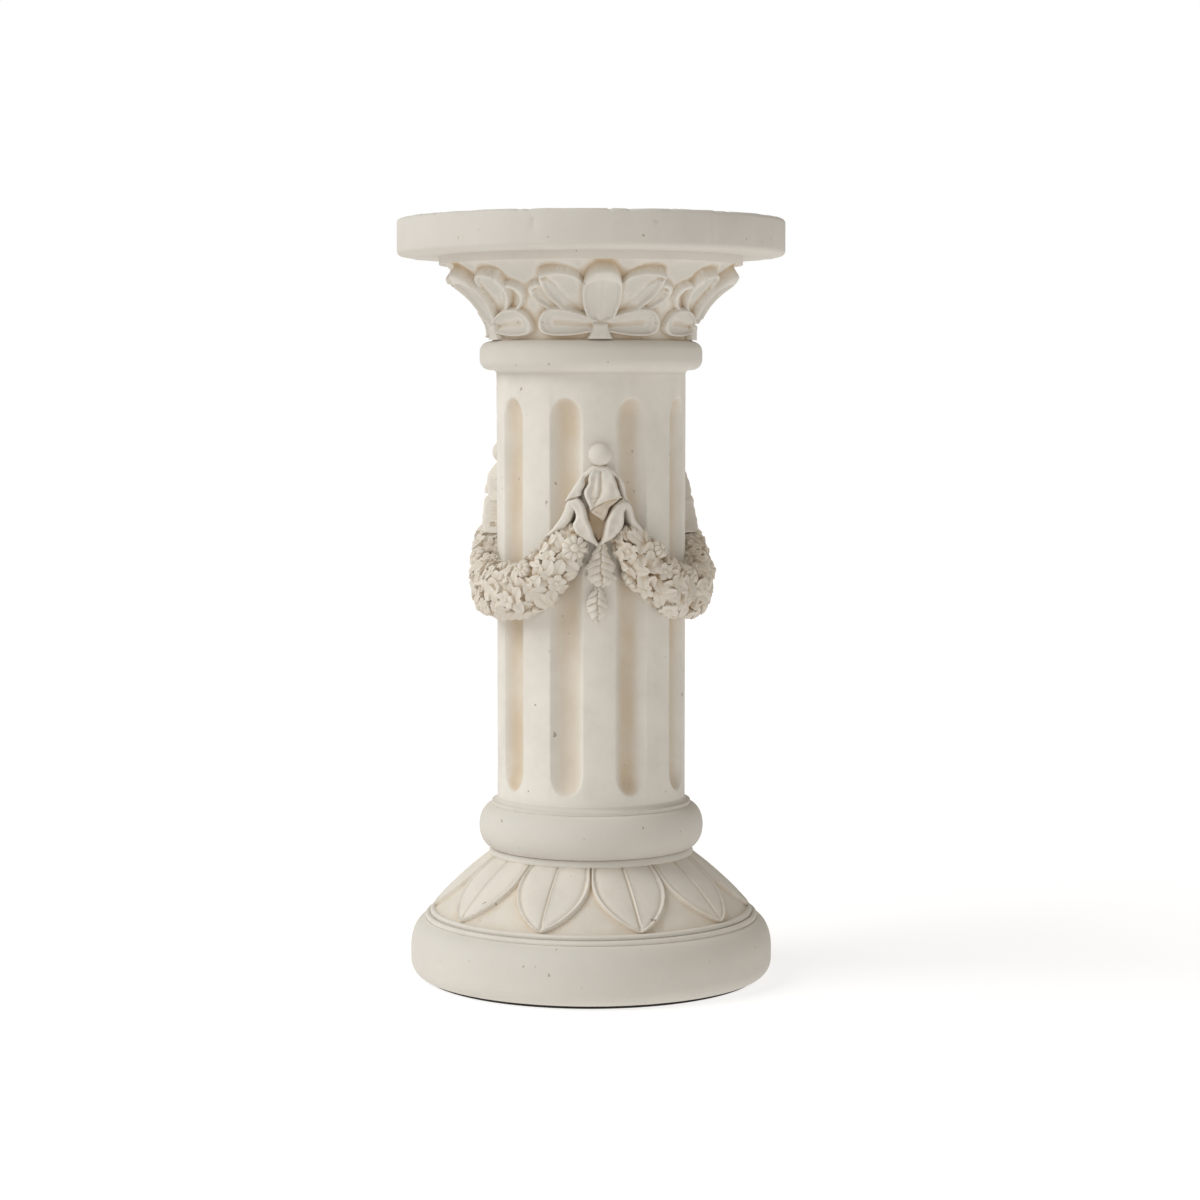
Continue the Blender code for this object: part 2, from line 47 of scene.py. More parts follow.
BASE_RADIUS = 0.1824
BASE_ROLL_HEIGHT = 0.0575
BASE_EDGE_RISE = 0.016
BASE_EDGE_INSET = 0.011
BASE_SHOULDER_RISE = 0.030
BEAD_RADIUS = 0.1650
BEAD_HEIGHT = 0.006
BEAD_RELIEF = 0.0034
BEAD_SPREAD = 0.0022
BEAD_POWER = 0.7
BEAD_TOP_SHARE = 0.972
SLOPE_HEIGHT = 0.0577
SLOPE_FOOT_RADIUS = 0.159
SLOPE_NECK_RADIUS = 0.0968
SLOPE_BULGE = 0.004
NECK_FILLET_HEIGHT = 0.007
NECK_FILLET_RELIEF = 0.0050
NECK_FILLET_POWER = 4
NECK_SHARE = 0.035

LOWER_COLLAR_RADIUS = 0.1130
LOWER_COLLAR_HEIGHT = 0.0438
SHAFT_RADIUS = 0.0946
SHAFT_HEIGHT = 0.4355
SHAFT_COVE = 0.004
SHAFT_FILLET_RADIUS = 0.1000
SHAFT_FILLET_HEIGHT = 0.0035
SHAFT_FILLET_COVE = 0.0045
UPPER_COLLAR_RADIUS = 0.1113
UPPER_COLLAR_HEIGHT = 0.0285
UPPER_COLLAR_ROUND = 0.0105

BELL_HEIGHT = 0.0757
BELL_FOOT_RADIUS = 0.0985
BELL_TOP_RADIUS = 0.1455
BELL_WAIST_RISE = 0.037
BELL_WAIST_SHARE = 0.03
FILLET_RADIUS = 0.1515
FILLET_HEIGHT = 0.008
SLAB_RADIUS = 0.1935
SLAB_THICKNESS = 0.037
SLAB_TOP_ROUND = 0.0045
SLAB_UNDER_ROUND = 0.0062
SLAB_WAVE = 0.00025
SLAB_WAVES = (3, 7, 13, 22, 37)
SLAB_CHIPS = 46
RIM_CHIP_SHARE = 0.6
CHIP_SIZES = (0.0014, 0.0032)
CHIP_DEPTHS = (0.0005, 0.0013)

# Flutes
FLUTE_COUNT = 9
FLUTE_WIDTH = 0.0335
FLUTE_DEPTH = 0.009
FLUTE_TOP_MARGIN = 0.0265
FLUTE_FOOT_MARGIN = 0.0170
FLUTE_END_STRETCH = 1.35
FLUTE_SOFTNESS = 0.0003
FLUTE_OUTSIDE = 0.004

# Leaves down the base
LEAF_COUNT = 10
LEAF_TURN = math.radians(12.9)
LEAF_TIP_INSET = 0.0024
LEAF_RELIEF = 0.0034
LEAF_GAP = 0.0004
LEAF_SHOULDER = 0.26
LEAF_START = 0.02
LEAF_TAPER_POWER = 0.75
LEAF_SLANT = 0.8
LEAF_EDGE = (-0.0004, 0.0010)
LEAF_EDGE_SHARE = 0.80
LEAF_SWELL = 0.25
LEAF_RIM = 0.0014
LEAF_RIM_INSET = 0.0017
LEAF_RIM_WIDTH = 0.0013
LEAF_DIP = 0.0010
LEAF_DIP_INSET = 0.0042
LEAF_DIP_WIDTH = 0.0015
LEAF_RIB = 0.0009
LEAF_RIB_OFFSET = 0.0009
LEAF_RIB_WIDTH = 0.0009
LEAF_GROOVE = 1.5 * LEAF_RIB
LEAF_GROOVE_WIDTH = 0.0010
LEAF_PIT_DEPTH = 0.0016
LEAF_PIT_WIDTH = 0.0014
LEAF_PIT_PLACE = 0.93
LEAF_PIT_REACH = 0.03

# Palmettes on the capital. Each petal: where its root sits across and above the bell's foot, its
# lean from upright in degrees, its length, its half widths towards the heart and away from it, how far
# along it is widest, how pointed its outline is (1 straight, 2 round), how proud its edge stands,
# how far its tip curls out, and how much wider its rim is at the tip. Back petals come first, and
# each leaning one has its mirror image.
PALMETTE_COUNT = 5
PALMETTE_PETALS = (
    ((-0.013, 0.019), 51, 0.0760, 0.0140, 0.0100, 0.70, 2.0, 0.0040, 0.0050, 1.5),
    ((-0.011, 0.020), 39, 0.0810, 0.0265, 0.0105, 0.62, 1.5, 0.0055, 0.0080, 1.5),
    ((0.000, 0.016), 0, 0.0735, 0.0192, 0.0192, 0.60, 2.4, 0.0085, 0.0100, 3.2),
    ((-0.005, 0.0170), 85, 0.0560, 0.0200, 0.0155, 0.64, 2.6, 0.0070, 0.0, 1.4),
)
PETAL_STEM_SHARE = 0.46
PETAL_RIM = 0.0031
PETAL_HOLLOW = 0.0072
PETAL_HOLLOW_WIDTH = 0.0150
PETAL_EDGE = (-0.0003, 0.0012)
PETAL_EDGE_SHARE = 0.45
PETAL_STEP = 0.0018
PETAL_FLATTENING = 0.7
PETAL_VEIN = 0.0008
PETAL_VEIN_WIDTH = 0.0017
VEINED_LENGTH = 0.06
KNOB_HEIGHT = 0.0215
KNOB_TOP_HALF_WIDTH = 0.0072
KNOB_FOOT_HALF_WIDTH = 0.0135
KNOB_RELIEF = 0.0072
KNOB_ROUND = 0.0050
KNOB_FLARE = 0.15

# Swags
SWAG_COUNT = 3
SWAG_LOW_HEIGHT = 0.217
SWAG_SAG = 0.059
SWAG_SAG_POWER = 2.5
SWAG_THICKNESS = 0.050
SWAG_END_THICKNESS = 0.034
SWAG_PROUD = 0.027
SWAG_SPREAD = math.radians(92)
SWAG_WRAP = math.radians(128)
SWAG_END = 1.04
SWAG_END_ROUND = 0.10
SWAG_END_SHARE = 0.30
SWAG_SIDE_SHARE = 0.4
SWAG_SINK = FLUTE_DEPTH + 0.002
SWAG_SINK_TURN = math.radians(112)
SWAG_GROUND = -0.0038
SWAG_LIFT = 0.0022
SWAG_FLOWER_ROOM = (0.142, 0.060)
ROSETTE_RADIUS = 0.0118
BLOSSOM_RADIUS = 0.0092
BERRY_RADIUS = 0.0040
SPRIG_LENGTH = 0.0086
SPRIG_WIDTH = 0.0060
SPRIG_FOOT = 0.0030
SPRIG_CUP = 0.0007
SPRIG_LIFT = 0.0026
SPRIG_VEIN = 0.0007
SPRIG_VEIN_WIDTH = 0.0009
ROSETTE_FOOT = 0.0036
ROSETTE_ROUND = 0.0036
ROSETTE_NOTCH = 0.84
ROSETTE_GROOVE = 0.0016
ROSETTE_DIP = 0.0012
BUTTON_SHARE = 0.28
BUTTON_FOOT = 0.0066
BUTTON_ROUND = 0.0022
BLOSSOM_NOTCH = 0.66
CUP_FOOT = 0.0024
CUP_RISE = 0.0030
EYE_SHARE = 0.24
EYE_FOOT = 0.0036
EYE_ROUND = 0.0014
BERRY_FOOT = 0.0022
# What a flower's or leaf's height is outside its outline
NOTHING = -1
# Where a swag's last rosette lies: along it, as t, and round it
END_ROSETTE = (0.94, math.radians(-24))
END_ROSETTE_TURN = 0.3
FLOWER_SIZES = (0.88, 1.12)

BALL_RADIUS = 0.011
BALL_ABOVE_SWAG = 0.136
BALL_PROUD = 0.015

# Points round each section of the column, and the grids of the carving
ROLL_COLUMNS = 400
LEAF_COLUMNS = 1080
RING_COLUMNS = 420
SHAFT_COLUMNS = 810
BELL_COLUMNS = 1000
SLAB_COLUMNS = 900
PAD_COLUMNS = 180
# The faces that close the column and pad start at this radius, and two profile points that lie
# nearer than the gap are one
POLE_RADIUS = 0.04
PAD_POLE_RADIUS = 0.03
SLAB_RIM_BAND = 0.03
JOINT_GAP = 0.0001
# How far up and down the shaft the flutes' ends need fine rows
FINE_FOOT = 0.046
FINE_TOP = 0.056
SWAG_CELLS = (380, 176)
KNOT_CELL = 0.0006
COLUMN_TRIANGLES = 196000
SHARP_ANGLE = math.radians(42)

# Colours, as shares of full light
STONE_LIGHT = (0.745, 0.705, 0.635, 1)
STONE_WASH = (0.56, 0.435, 0.290, 1)
STONE_GREY = (0.61, 0.575, 0.52, 1)
STONE_HOLE = (0.43, 0.37, 0.29, 1)
# How much of the tan wash is left, from 0 to 1. Below 0 it is grey painted shade instead.
# Grey painted shade over the slab's rounds and edge.
SLAB_PAINTED_SHADE = -0.75
# Grey painted shade over the plain turned mouldings, from the base's underside and roll up to the slab's
# top.
MOULDING_PAINTED_SHADE = -0.70
# Grey painted shade over the bell and palmettes, left off their rims and tan hollows.
CARVING_PAINTED_SHADE = 0.85
BELL_WASH = 0.26
LEAF_WASH = 0.10
SLOPE_WASH = 0.08
SWAG_WASH = 0.22
KNOT_WASH = 0.10
# The knot's mouth: tan wash made near full as painted shade in that deep hollow.
MOUTH_WASH_AND_SHADE = 0.95
HEM_WASH = 0.55
CREASE_WASH = 0.45
CREASE_WIDTH = 0.0018
FLUTE_WASH_SHIFT = 0.003
FLUTE_WASH_WIDTHS = (0.0105, 0.0145)
FLUTE_WASH_SHARES = (0.60, 0.98)
PAD_COLOUR = (0.016, 0.013, 0.011, 1)
PAD_FLECK_SHARE = 2.2
FLOOR_COLOUR = (0.44, 0.43, 0.42, 1)
STONE_ROUGHNESS = 0.85
STONE_SHEEN = 0.25
PAD_ROUGHNESS = 0.95
FLOOR_ROUGHNESS = 0.9
GRAIN_RELIEF = 0.30
HOLE_RELIEF = 0.30
BUMP_STRENGTH = 0.70
BUMP_DISTANCE = 0.0010
# Noise: its scale, detail and roughness, then the range it is read over and what that becomes
BLOTCH = (16.0, 4.0, 0.6, 0.28, 0.68, 0.45, 1.1)
MOTTLE = (22.0, 6.0, 0.66, 0.40, 0.68, 0.05, 0.55)
STAIN = (6.0, 4.0, 0.6, 0.50, 0.75, 0.0, 0.14)
HOLES = (130.0, 1.0, 0.5, 0.235, 0.205, 0.0, 1.0)
PAD_FLECKS = (300.0, 3.0, 0.5, 0.3, 0.7, 0.0, 1.0)
GRAIN = (330.0, 5.0, 0.66)

BASE_BOTTOM = PAD_THICKNESS + PAD_CLEARANCE
ROLL_TOP = BASE_BOTTOM + BASE_ROLL_HEIGHT
SLOPE_FOOT = ROLL_TOP + BEAD_HEIGHT
SLOPE_NECK = SLOPE_FOOT + SLOPE_HEIGHT
LOWER_COLLAR_BOTTOM = SLOPE_NECK + NECK_FILLET_HEIGHT
SHAFT_BOTTOM = LOWER_COLLAR_BOTTOM + LOWER_COLLAR_HEIGHT
SHAFT_TOP = SHAFT_BOTTOM + SHAFT_HEIGHT
BELL_FOOT = SHAFT_TOP + UPPER_COLLAR_HEIGHT
BELL_TOP = BELL_FOOT + BELL_HEIGHT
SLAB_BOTTOM = BELL_TOP + FILLET_HEIGHT
SLAB_TOP = SLAB_BOTTOM + SLAB_THICKNESS
SWAG_LOW = SHAFT_BOTTOM + SWAG_LOW_HEIGHT
RIM_CHIP_LEVEL = SLAB_TOP - 0.001
FACE_CHIP_LEVELS = (SLAB_BOTTOM + 0.002, SLAB_TOP - 0.004)
# The one chip that the front shows, as (turn, level, size, depth)
FRONT_CHIP = (math.radians(13.4), SLAB_TOP - 0.012, 0.0022, 0.0012)


def step(low, high, x):
    share = np.clip((x - low) / (high - low), 0, 1)
    return share * share * (3 - 2 * share)


def ridge(x, width, power=2):
    return np.exp(-((x / width) ** power))


def crest(edge, width):
    """A quarter round that rises from 0 at an edge to 1 at width inside it."""
    return np.sqrt(1 - (1 - np.clip(edge / width, 0, 1)) ** 2)


def dome(out, power=2):
    """A round top, 1 in the middle and 0 from out = 1."""
    return np.sqrt(np.clip(1 - out**power, 0, 1))


def lifted(share, least):
    return least + (1 - least) * share


def laid(field, inside, height):
    return field * (1 - inside) + height * inside


def turned_point(angle, radius, height):
    """Points at angles from the front, which is -Y, turning towards +X."""
    return np.stack(np.broadcast_arrays(radius * np.sin(angle), -radius * np.cos(angle), height), -1)


def arc(centre, size, start, end, steps):
    angles = np.radians(np.linspace(start, end, steps + 1))
    return np.stack([centre[0] + size[0] * np.cos(angles), centre[1] + size[1] * np.sin(angles)], -1)


def line(start, end, steps):
    share = np.linspace(0, 1, steps + 1)[:, None]
    return np.array(start) * (1 - share) + np.array(end) * share


def smoothed(field, reach, wrap):
    """A field averaged over a square window, wrapping round its second axis if wrap is true."""
    padded = np.pad(field, ((reach, reach), (0, 0)), mode="edge")
    padded = np.pad(padded, ((0, 0), (reach, reach)), mode="wrap" if wrap else "edge")
    total = np.cumsum(np.cumsum(np.pad(padded, ((1, 0), (1, 0))), 0), 1)
    width = 2 * reach + 1
    far, near = total[width:], total[:-width]
    return (far[:, width:] - near[:, width:] - far[:, :-width] + near[:, :-width]) / width**2


def hollowness(field, reach, scale, wrap=False):
    """How far each point lies below its surroundings, from 0 to 1."""
    around = smoothed(smoothed(field, reach, wrap), reach, wrap)
    return np.clip((around - field) / scale, 0, 1)


# The turned profile, as bands of (radius, height) that run up from the underside
def bell_curve(along):
    waist_radius = BELL_FOOT_RADIUS + BELL_WAIST_SHARE * (BELL_TOP_RADIUS - BELL_FOOT_RADIUS)
    waist = (waist_radius, BELL_FOOT + BELL_WAIST_RISE)
    foot, top = (BELL_FOOT_RADIUS, BELL_FOOT), (BELL_TOP_RADIUS, BELL_TOP)
    a, b, c = (1 - along) ** 2, 2 * along * (1 - along), along**2
    return np.stack([a * foot[i] + b * waist[i] + c * top[i] for i in range(2)], -1)


def slope_curve(along):
    radius = SLOPE_NECK_RADIUS + (SLOPE_FOOT_RADIUS - SLOPE_NECK_RADIUS) * along
    height = SLOPE_NECK - SLOPE_HEIGHT * along + SLOPE_BULGE * np.sin(math.pi * along)
    return np.stack([radius, height], -1)


def curve_length(curve):
    points = curve(np.linspace(0, 1, 60))
    return float(np.linalg.norm(np.diff(points, axis=0), axis=1).sum())


def no_relief(angles, share):
    return np.zeros((len(share), len(angles)))


def square_ring(angles, share):
    """The neck's fillet, a ring with a flat face and rounded edges."""
    ring = NECK_FILLET_RELIEF * dome(np.abs(2 * share - 1), NECK_FILLET_POWER)
    return np.repeat(ring[:, None], len(angles), 1)


def double_bead(angles, share):
    ring = np.abs(np.sin(2 * math.pi * share)) ** BEAD_POWER
    return np.repeat((BEAD_RELIEF * ring)[:, None], len(angles), 1)


def flute_turns(angles):
    """(which flute, how far across it in metres from its middle) for each angle."""
    pitch = 2 * math.pi / FLUTE_COUNT
    which = (np.mod(angles, 2 * math.pi) / pitch).astype(int)
    return which, SHAFT_RADIUS * (np.mod(angles, pitch) - pitch / 2)


def flute_relief(angles, heights):
    """The flutes as a depth below the shaft, round-ended and with softened arrises."""
    half = FLUTE_WIDTH / 2
    reach = half * FLUTE_END_STRETCH
    low = SHAFT_BOTTOM + FLUTE_FOOT_MARGIN + reach
    high = SHAFT_TOP - FLUTE_TOP_MARGIN - reach
    _, across = flute_turns(angles)
    past = np.maximum(low - heights, 0) + np.maximum(heights - high, 0)
    out = np.sqrt(across[None, :] ** 2 + (past[:, None] / FLUTE_END_STRETCH) ** 2)
    sagitta = FLUTE_DEPTH - SHAFT_RADIUS + math.sqrt(SHAFT_RADIUS**2 - half**2)
    radius = (half**2 + sagitta**2) / (2 * sagitta)
    depth = np.sqrt(np.maximum(radius**2 - out**2, 0)) - (radius - sagitta)
    depth = depth + (FLUTE_DEPTH - sagitta) * (1 - (out / half) ** 2)
    depth = np.maximum(depth, -FLUTE_OUTSIDE)
    return -0.5 * (depth + np.sqrt(depth**2 + FLUTE_SOFTNESS**2))


def leaf_relief(angles, along):
    """Pointed leaves down the slope, ridged at the edge and sunk along the midrib."""
    slant = math.hypot(SLOPE_FOOT_RADIUS - SLOPE_NECK_RADIUS, SLOPE_HEIGHT)
    reach = 1 - LEAF_TIP_INSET / slant
    pitch = 2 * math.pi / LEAF_COUNT
    radius = slope_curve(along)[:, 0][:, None]
    turn = np.mod(angles - LEAF_TURN + pitch / 2, pitch) - pitch / 2
    down = np.clip((along - LEAF_START) / (reach - LEAF_START), 0, 1.2)[:, None]
    widest = pitch / 2 * radius - LEAF_GAP / 2
    narrowing = np.clip((down - LEAF_SHOULDER) / (1 - LEAF_SHOULDER), 0, 1)
    taper = np.cos(narrowing * math.pi / 2) ** LEAF_TAPER_POWER
    half = np.maximum(widest * taper, 1e-5)
    signed = turn[None, :] * radius
    edge = (half - np.abs(signed)) * np.where(down < LEAF_SHOULDER, 1, LEAF_SLANT)
    inside = step(*LEAF_EDGE, edge) * step(1.0, 0.985, down)
    across = np.clip(np.abs(signed) / half, 0, 1)
    rim = LEAF_RIM * ridge(edge - LEAF_RIM_INSET, LEAF_RIM_WIDTH)
    dip = LEAF_DIP * ridge(edge - LEAF_DIP_INSET, LEAF_DIP_WIDTH)
    swell = LEAF_SWELL * np.sin(math.pi * across) * step(0.0, 0.010, half)
    blade = LEAF_RELIEF * (LEAF_EDGE_SHARE + swell) + rim - dip
    fade = step(1.0, 0.85, down)
    rib = LEAF_RIB * ridge(signed - LEAF_RIB_OFFSET, LEAF_RIB_WIDTH)
    groove = LEAF_GROOVE * ridge(signed + LEAF_RIB_OFFSET, LEAF_GROOVE_WIDTH)
    pit = LEAF_PIT_DEPTH * ridge(signed, LEAF_PIT_WIDTH) * ridge(down - LEAF_PIT_PLACE, LEAF_PIT_REACH)
    return inside * (blade + (rib - groove) * fade - pit)


def petal_height(chart_x, chart_y, petal):
    """(inside, height) of one hollow petal with a raised rim, over the bell's chart."""
    root, lean, length, inner, outer, widest, point, rise, curl, hood = petal
    lean = math.radians(lean)
    x = (chart_x - root[0]) * math.cos(lean) + (chart_y - root[1]) * math.sin(lean)
    y = (chart_y - root[1]) * math.cos(lean) - (chart_x - root[0]) * math.sin(lean)
    along = y / length
    swell = np.sin(math.pi / 2 * np.clip(along / widest, 0, 1))
    stem = PETAL_STEM_SHARE + (1 - PETAL_STEM_SHARE) * swell
    beyond = np.clip((along - widest) / (1 - widest), 0, None)
    half = np.where(x * lean > 0, inner, outer) * stem
    out = (np.abs(x / half) ** point + beyond**point) ** (1 / point)
    edge = (1 - out) * half
    inside = step(*PETAL_EDGE, edge) * step(-0.002, 0.001, y)
    tip = np.clip(along, 0, 1)
    rim = PETAL_RIM * (1 + (hood - 1) * step(0.70, 0.98, tip))
    lip = 0.8 * rim
    bowl = 0.5 * step(lip, lip + PETAL_STEP, edge) + 0.5 * step(rim, rim + 0.9 * half, edge)
    curled = rise + curl * tip**3 * (1 - PETAL_FLATTENING * bowl)
    height = curled * lifted(crest(edge, rim), PETAL_EDGE_SHARE)
    hollow = PETAL_HOLLOW * bowl * min(1, inner / PETAL_HOLLOW_WIDTH)
    vein = PETAL_VEIN * ridge(x, PETAL_VEIN_WIDTH) * step(0.92, 0.5, tip) * (length > VEINED_LENGTH)
    return inside, height - hollow + vein * bowl


def both_sides(petal):
    """A leaning petal and its mirror image, or an upright one alone."""
    (across, above), lean = petal[:2]
    mirrored = ((-across, above), -lean, *petal[2:])
    return (petal, mirrored) if lean else (petal,)


def knob_height(chart_x, chart_y):
    """(inside, height) of the knob at a palmette's foot, which flares downwards."""
    share = np.clip(chart_y / KNOB_HEIGHT, 0, 1)
    half = KNOB_TOP_HALF_WIDTH + (KNOB_FOOT_HALF_WIDTH - KNOB_TOP_HALF_WIDTH) * (1 - share) ** 2
    edge = np.minimum(half - np.abs(chart_x), KNOB_HEIGHT - chart_y)
    height = KNOB_RELIEF * lifted(crest(edge, KNOB_ROUND), PETAL_EDGE_SHARE)
    return step(*PETAL_EDGE, edge), height * (1 + KNOB_FLARE * (1 - share) ** 2)


def palmette_relief(angles, along):
    pitch = 2 * math.pi / PALMETTE_COUNT
    turn = np.mod(angles + pitch / 2, pitch) - pitch / 2
    radius = bell_curve(along)[:, 0][:, None]
    chart_y = (along * curve_length(bell_curve))[:, None]
    field = np.zeros((len(along), len(angles)))
    for petal in [side for one in PALMETTE_PETALS for side in both_sides(one)]:
        for shift in (-1, 0, 1):
            chart_x = (turn[None, :] - shift * pitch) * radius
            field = laid(field, *petal_height(chart_x, chart_y, petal))
    field = laid(field, *knob_height(turn[None, :] * radius, chart_y))
    ends = step(0.0, 0.02, along) * step(1.0, 0.985, along)
    return field * ends[:, None]


def slab_relief(angles, heights):
    """The slab's slight waviness, with small chips and pits in its face and edges."""
    rng = np.random.default_rng(5)
    turn = angles[None, :]
    field = sum(SLAB_WAVE / 2 * np.sin(k * turn + rng.uniform(0, 6)) for k in SLAB_WAVES)
    field = np.repeat(field, len(heights), 0)
    chips = [FRONT_CHIP]
    for _ in range(SLAB_CHIPS):
        level = RIM_CHIP_LEVEL if rng.random() < RIM_CHIP_SHARE else rng.uniform(*FACE_CHIP_LEVELS)
        angle = rng.uniform(0, 2 * math.pi)
        chips.append((angle, level, rng.uniform(*CHIP_SIZES), rng.uniform(*CHIP_DEPTHS)))
    for angle, height, size, depth in chips:
        gap = SLAB_RADIUS * (np.mod(turn - angle + math.pi, 2 * math.pi) - math.pi)
        out = (gap**2 + (heights[:, None] - height) ** 2) / size**2
        field = field - depth * np.exp(-(out**1.5))
    return np.minimum(field - SLAB_WAVE, 0)


def column_sections():
    """The column from below, as (points round, bands), where each band is (profile, relief, shares).

    The last number of each arc and line is how many steps it has, fine where the form needs it.
    """
    sections = []

    def band(columns, points, relief=no_relief, share=None):
        if not sections or sections[-1][0] != columns:
            sections.append((columns, []))
        share = np.linspace(0, 1, len(points)) if share is None else share
        sections[-1][1].append((points, relief, share))

    band(ROLL_COLUMNS, line((POLE_RADIUS, BASE_BOTTOM), (BASE_RADIUS - BASE_EDGE_INSET, BASE_BOTTOM), 3))
    edge_centre = (BASE_RADIUS - BASE_EDGE_INSET, BASE_BOTTOM + BASE_EDGE_RISE)
    band(ROLL_COLUMNS, arc(edge_centre, (BASE_EDGE_INSET, BASE_EDGE_RISE), -85, 0, 9))
    shoulder = (BEAD_RADIUS, ROLL_TOP - BASE_SHOULDER_RISE)
    band(ROLL_COLUMNS, arc(shoulder, (BASE_RADIUS - BEAD_RADIUS, BASE_SHOULDER_RISE), 0, 80, 16))
    bead_foot = (BEAD_RADIUS + BEAD_SPREAD, ROLL_TOP - BEAD_SPREAD / 2)
    band(ROLL_COLUMNS, line(bead_foot, tuple(slope_curve(BEAD_TOP_SHARE)), 24), double_bead)
    down = np.linspace(BEAD_TOP_SHARE, NECK_SHARE, 100)
    band(LEAF_COLUMNS, slope_curve(down), leaf_relief, down)
    neck = SLOPE_NECK_RADIUS
    band(RING_COLUMNS, line(tuple(slope_curve(NECK_SHARE)), (neck, LOWER_COLLAR_BOTTOM), 14), square_ring)
    inner = SHAFT_RADIUS + SHAFT_COVE
    collar = (inner, LOWER_COLLAR_BOTTOM + LOWER_COLLAR_HEIGHT / 2)
    band(RING_COLUMNS, arc(collar, (LOWER_COLLAR_RADIUS - inner, LOWER_COLLAR_HEIGHT / 2), -86, 86, 28))
    ring_top = SHAFT_BOTTOM + SHAFT_FILLET_HEIGHT
    band(RING_COLUMNS, line((SHAFT_FILLET_RADIUS, SHAFT_BOTTOM), (SHAFT_FILLET_RADIUS, ring_top), 3))
    cove = SHAFT_FILLET_RADIUS - SHAFT_RADIUS
    cove_top = ring_top + SHAFT_FILLET_COVE
    band(RING_COLUMNS, arc((SHAFT_FILLET_RADIUS, cove_top), (cove, SHAFT_FILLET_COVE), -95, -178, 6))
    heights = np.concatenate([
        np.linspace(cove_top + 0.0005, SHAFT_BOTTOM + FINE_FOOT, 50),
        np.linspace(SHAFT_BOTTOM + FINE_FOOT + 0.010, SHAFT_TOP - FINE_TOP - 0.010, 20),
        np.linspace(SHAFT_TOP - FINE_TOP, SHAFT_TOP - 0.0055, 60),
    ])
    band(SHAFT_COLUMNS, np.stack([np.full_like(heights, SHAFT_RADIUS), heights], -1), flute_relief, heights)
    band(RING_COLUMNS, arc((inner, SHAFT_TOP - SHAFT_COVE), (SHAFT_COVE, SHAFT_COVE), 178, 92, 6))
    round_ = UPPER_COLLAR_ROUND
    middle = UPPER_COLLAR_RADIUS - round_
    band(RING_COLUMNS, arc((middle, SHAFT_TOP + round_), (round_, round_), -86, 0, 9))
    band(RING_COLUMNS, arc((middle, BELL_FOOT - round_), (round_, round_), 0, 86, 9))
    up = np.linspace(0.01, 0.998, 130)
    band(BELL_COLUMNS, bell_curve(up), palmette_relief, up)
    band(SLAB_COLUMNS, line((FILLET_RADIUS, BELL_TOP), (FILLET_RADIUS, SLAB_BOTTOM), 5))
    under, top = SLAB_UNDER_ROUND, SLAB_TOP_ROUND
    under_arc = arc((SLAB_RADIUS - under, SLAB_BOTTOM + under), (under, under), -90, 0, 10)
    face = line((SLAB_RADIUS, SLAB_BOTTOM + under + 0.0015), (SLAB_RADIUS, SLAB_TOP - top - 0.0015), 14)
    top_arc = arc((SLAB_RADIUS - top, SLAB_TOP - top), (top, top), 0, 90, 7)
    for points in (under_arc, face, top_arc):
        band(SLAB_COLUMNS, points, slab_relief, points[:, 1])
    band(SLAB_COLUMNS, line((SLAB_RADIUS - SLAB_RIM_BAND, SLAB_TOP), (POLE_RADIUS, SLAB_TOP), 3))
    return sections


def surface_normals(points):
    """Outward normals of a grid whose rows run up and whose columns turn towards +X from the front."""
    normals = np.cross(np.gradient(points, axis=1), np.gradient(points, axis=0))
    return normals / np.maximum(np.linalg.norm(normals, axis=-1, keepdims=True), 1e-12)


NO_FANS = np.zeros((0, 3), int)


def grid_faces(rows, columns, wrap):
    first = np.arange(rows * columns).reshape(rows, columns)
    if wrap:
        first = np.concatenate([first, first[:, :1]], 1)
    corners = (first[:-1, :-1], first[:-1, 1:], first[1:, 1:], first[1:, :-1])
    return np.stack([c.ravel() for c in corners], -1)


def fan(first, columns, apex, below):
    """Triangles from a ring, whose points are numbered from first, to the point that closes it."""
    ring = first + np.arange(columns)
    after = np.roll(ring, -1)
    ends = (after, ring) if below else (ring, after)
    return np.stack([*ends, np.full(columns, apex)], -1)


def linked(name, data):
    thing = bpy.data.objects.new(name, data)
    bpy.context.scene.collection.objects.link(thing)
    return thing


def make_mesh(name, points, faces, fans, wash_and_shade):
    """A mesh of quads and, where it closes to a pole, of triangles, with its tan wash and painted shade at
    each vertex.
    """
    mesh = bpy.data.meshes.new(name)
    counts = np.concatenate([np.full(len(faces), 4), np.full(len(fans), 3)])
    loops = np.concatenate([faces.ravel(), fans.ravel()]).astype(np.int32)
    mesh.vertices.add(len(points))
    mesh.vertices.foreach_set("co", points.astype(np.float32).ravel())
    mesh.loops.add(len(loops))
    mesh.loops.foreach_set("vertex_index", loops)
    mesh.polygons.add(len(counts))
    starts = np.concatenate([[0], np.cumsum(counts)[:-1]]).astype(np.int32)
    mesh.polygons.foreach_set("loop_start", starts)
    mesh.update(calc_edges=True)
    mesh.validate()
    mesh.polygons.foreach_set("use_smooth", np.ones(len(mesh.polygons), bool))
    # The wash attribute holds the tan wash, and grey painted shade where it is below 0.
    layer = mesh.attributes.new("wash_and_shade", "FLOAT", "POINT")
    layer.data.foreach_set("value", wash_and_shade.astype(np.float32).ravel())
    return linked(name, mesh)


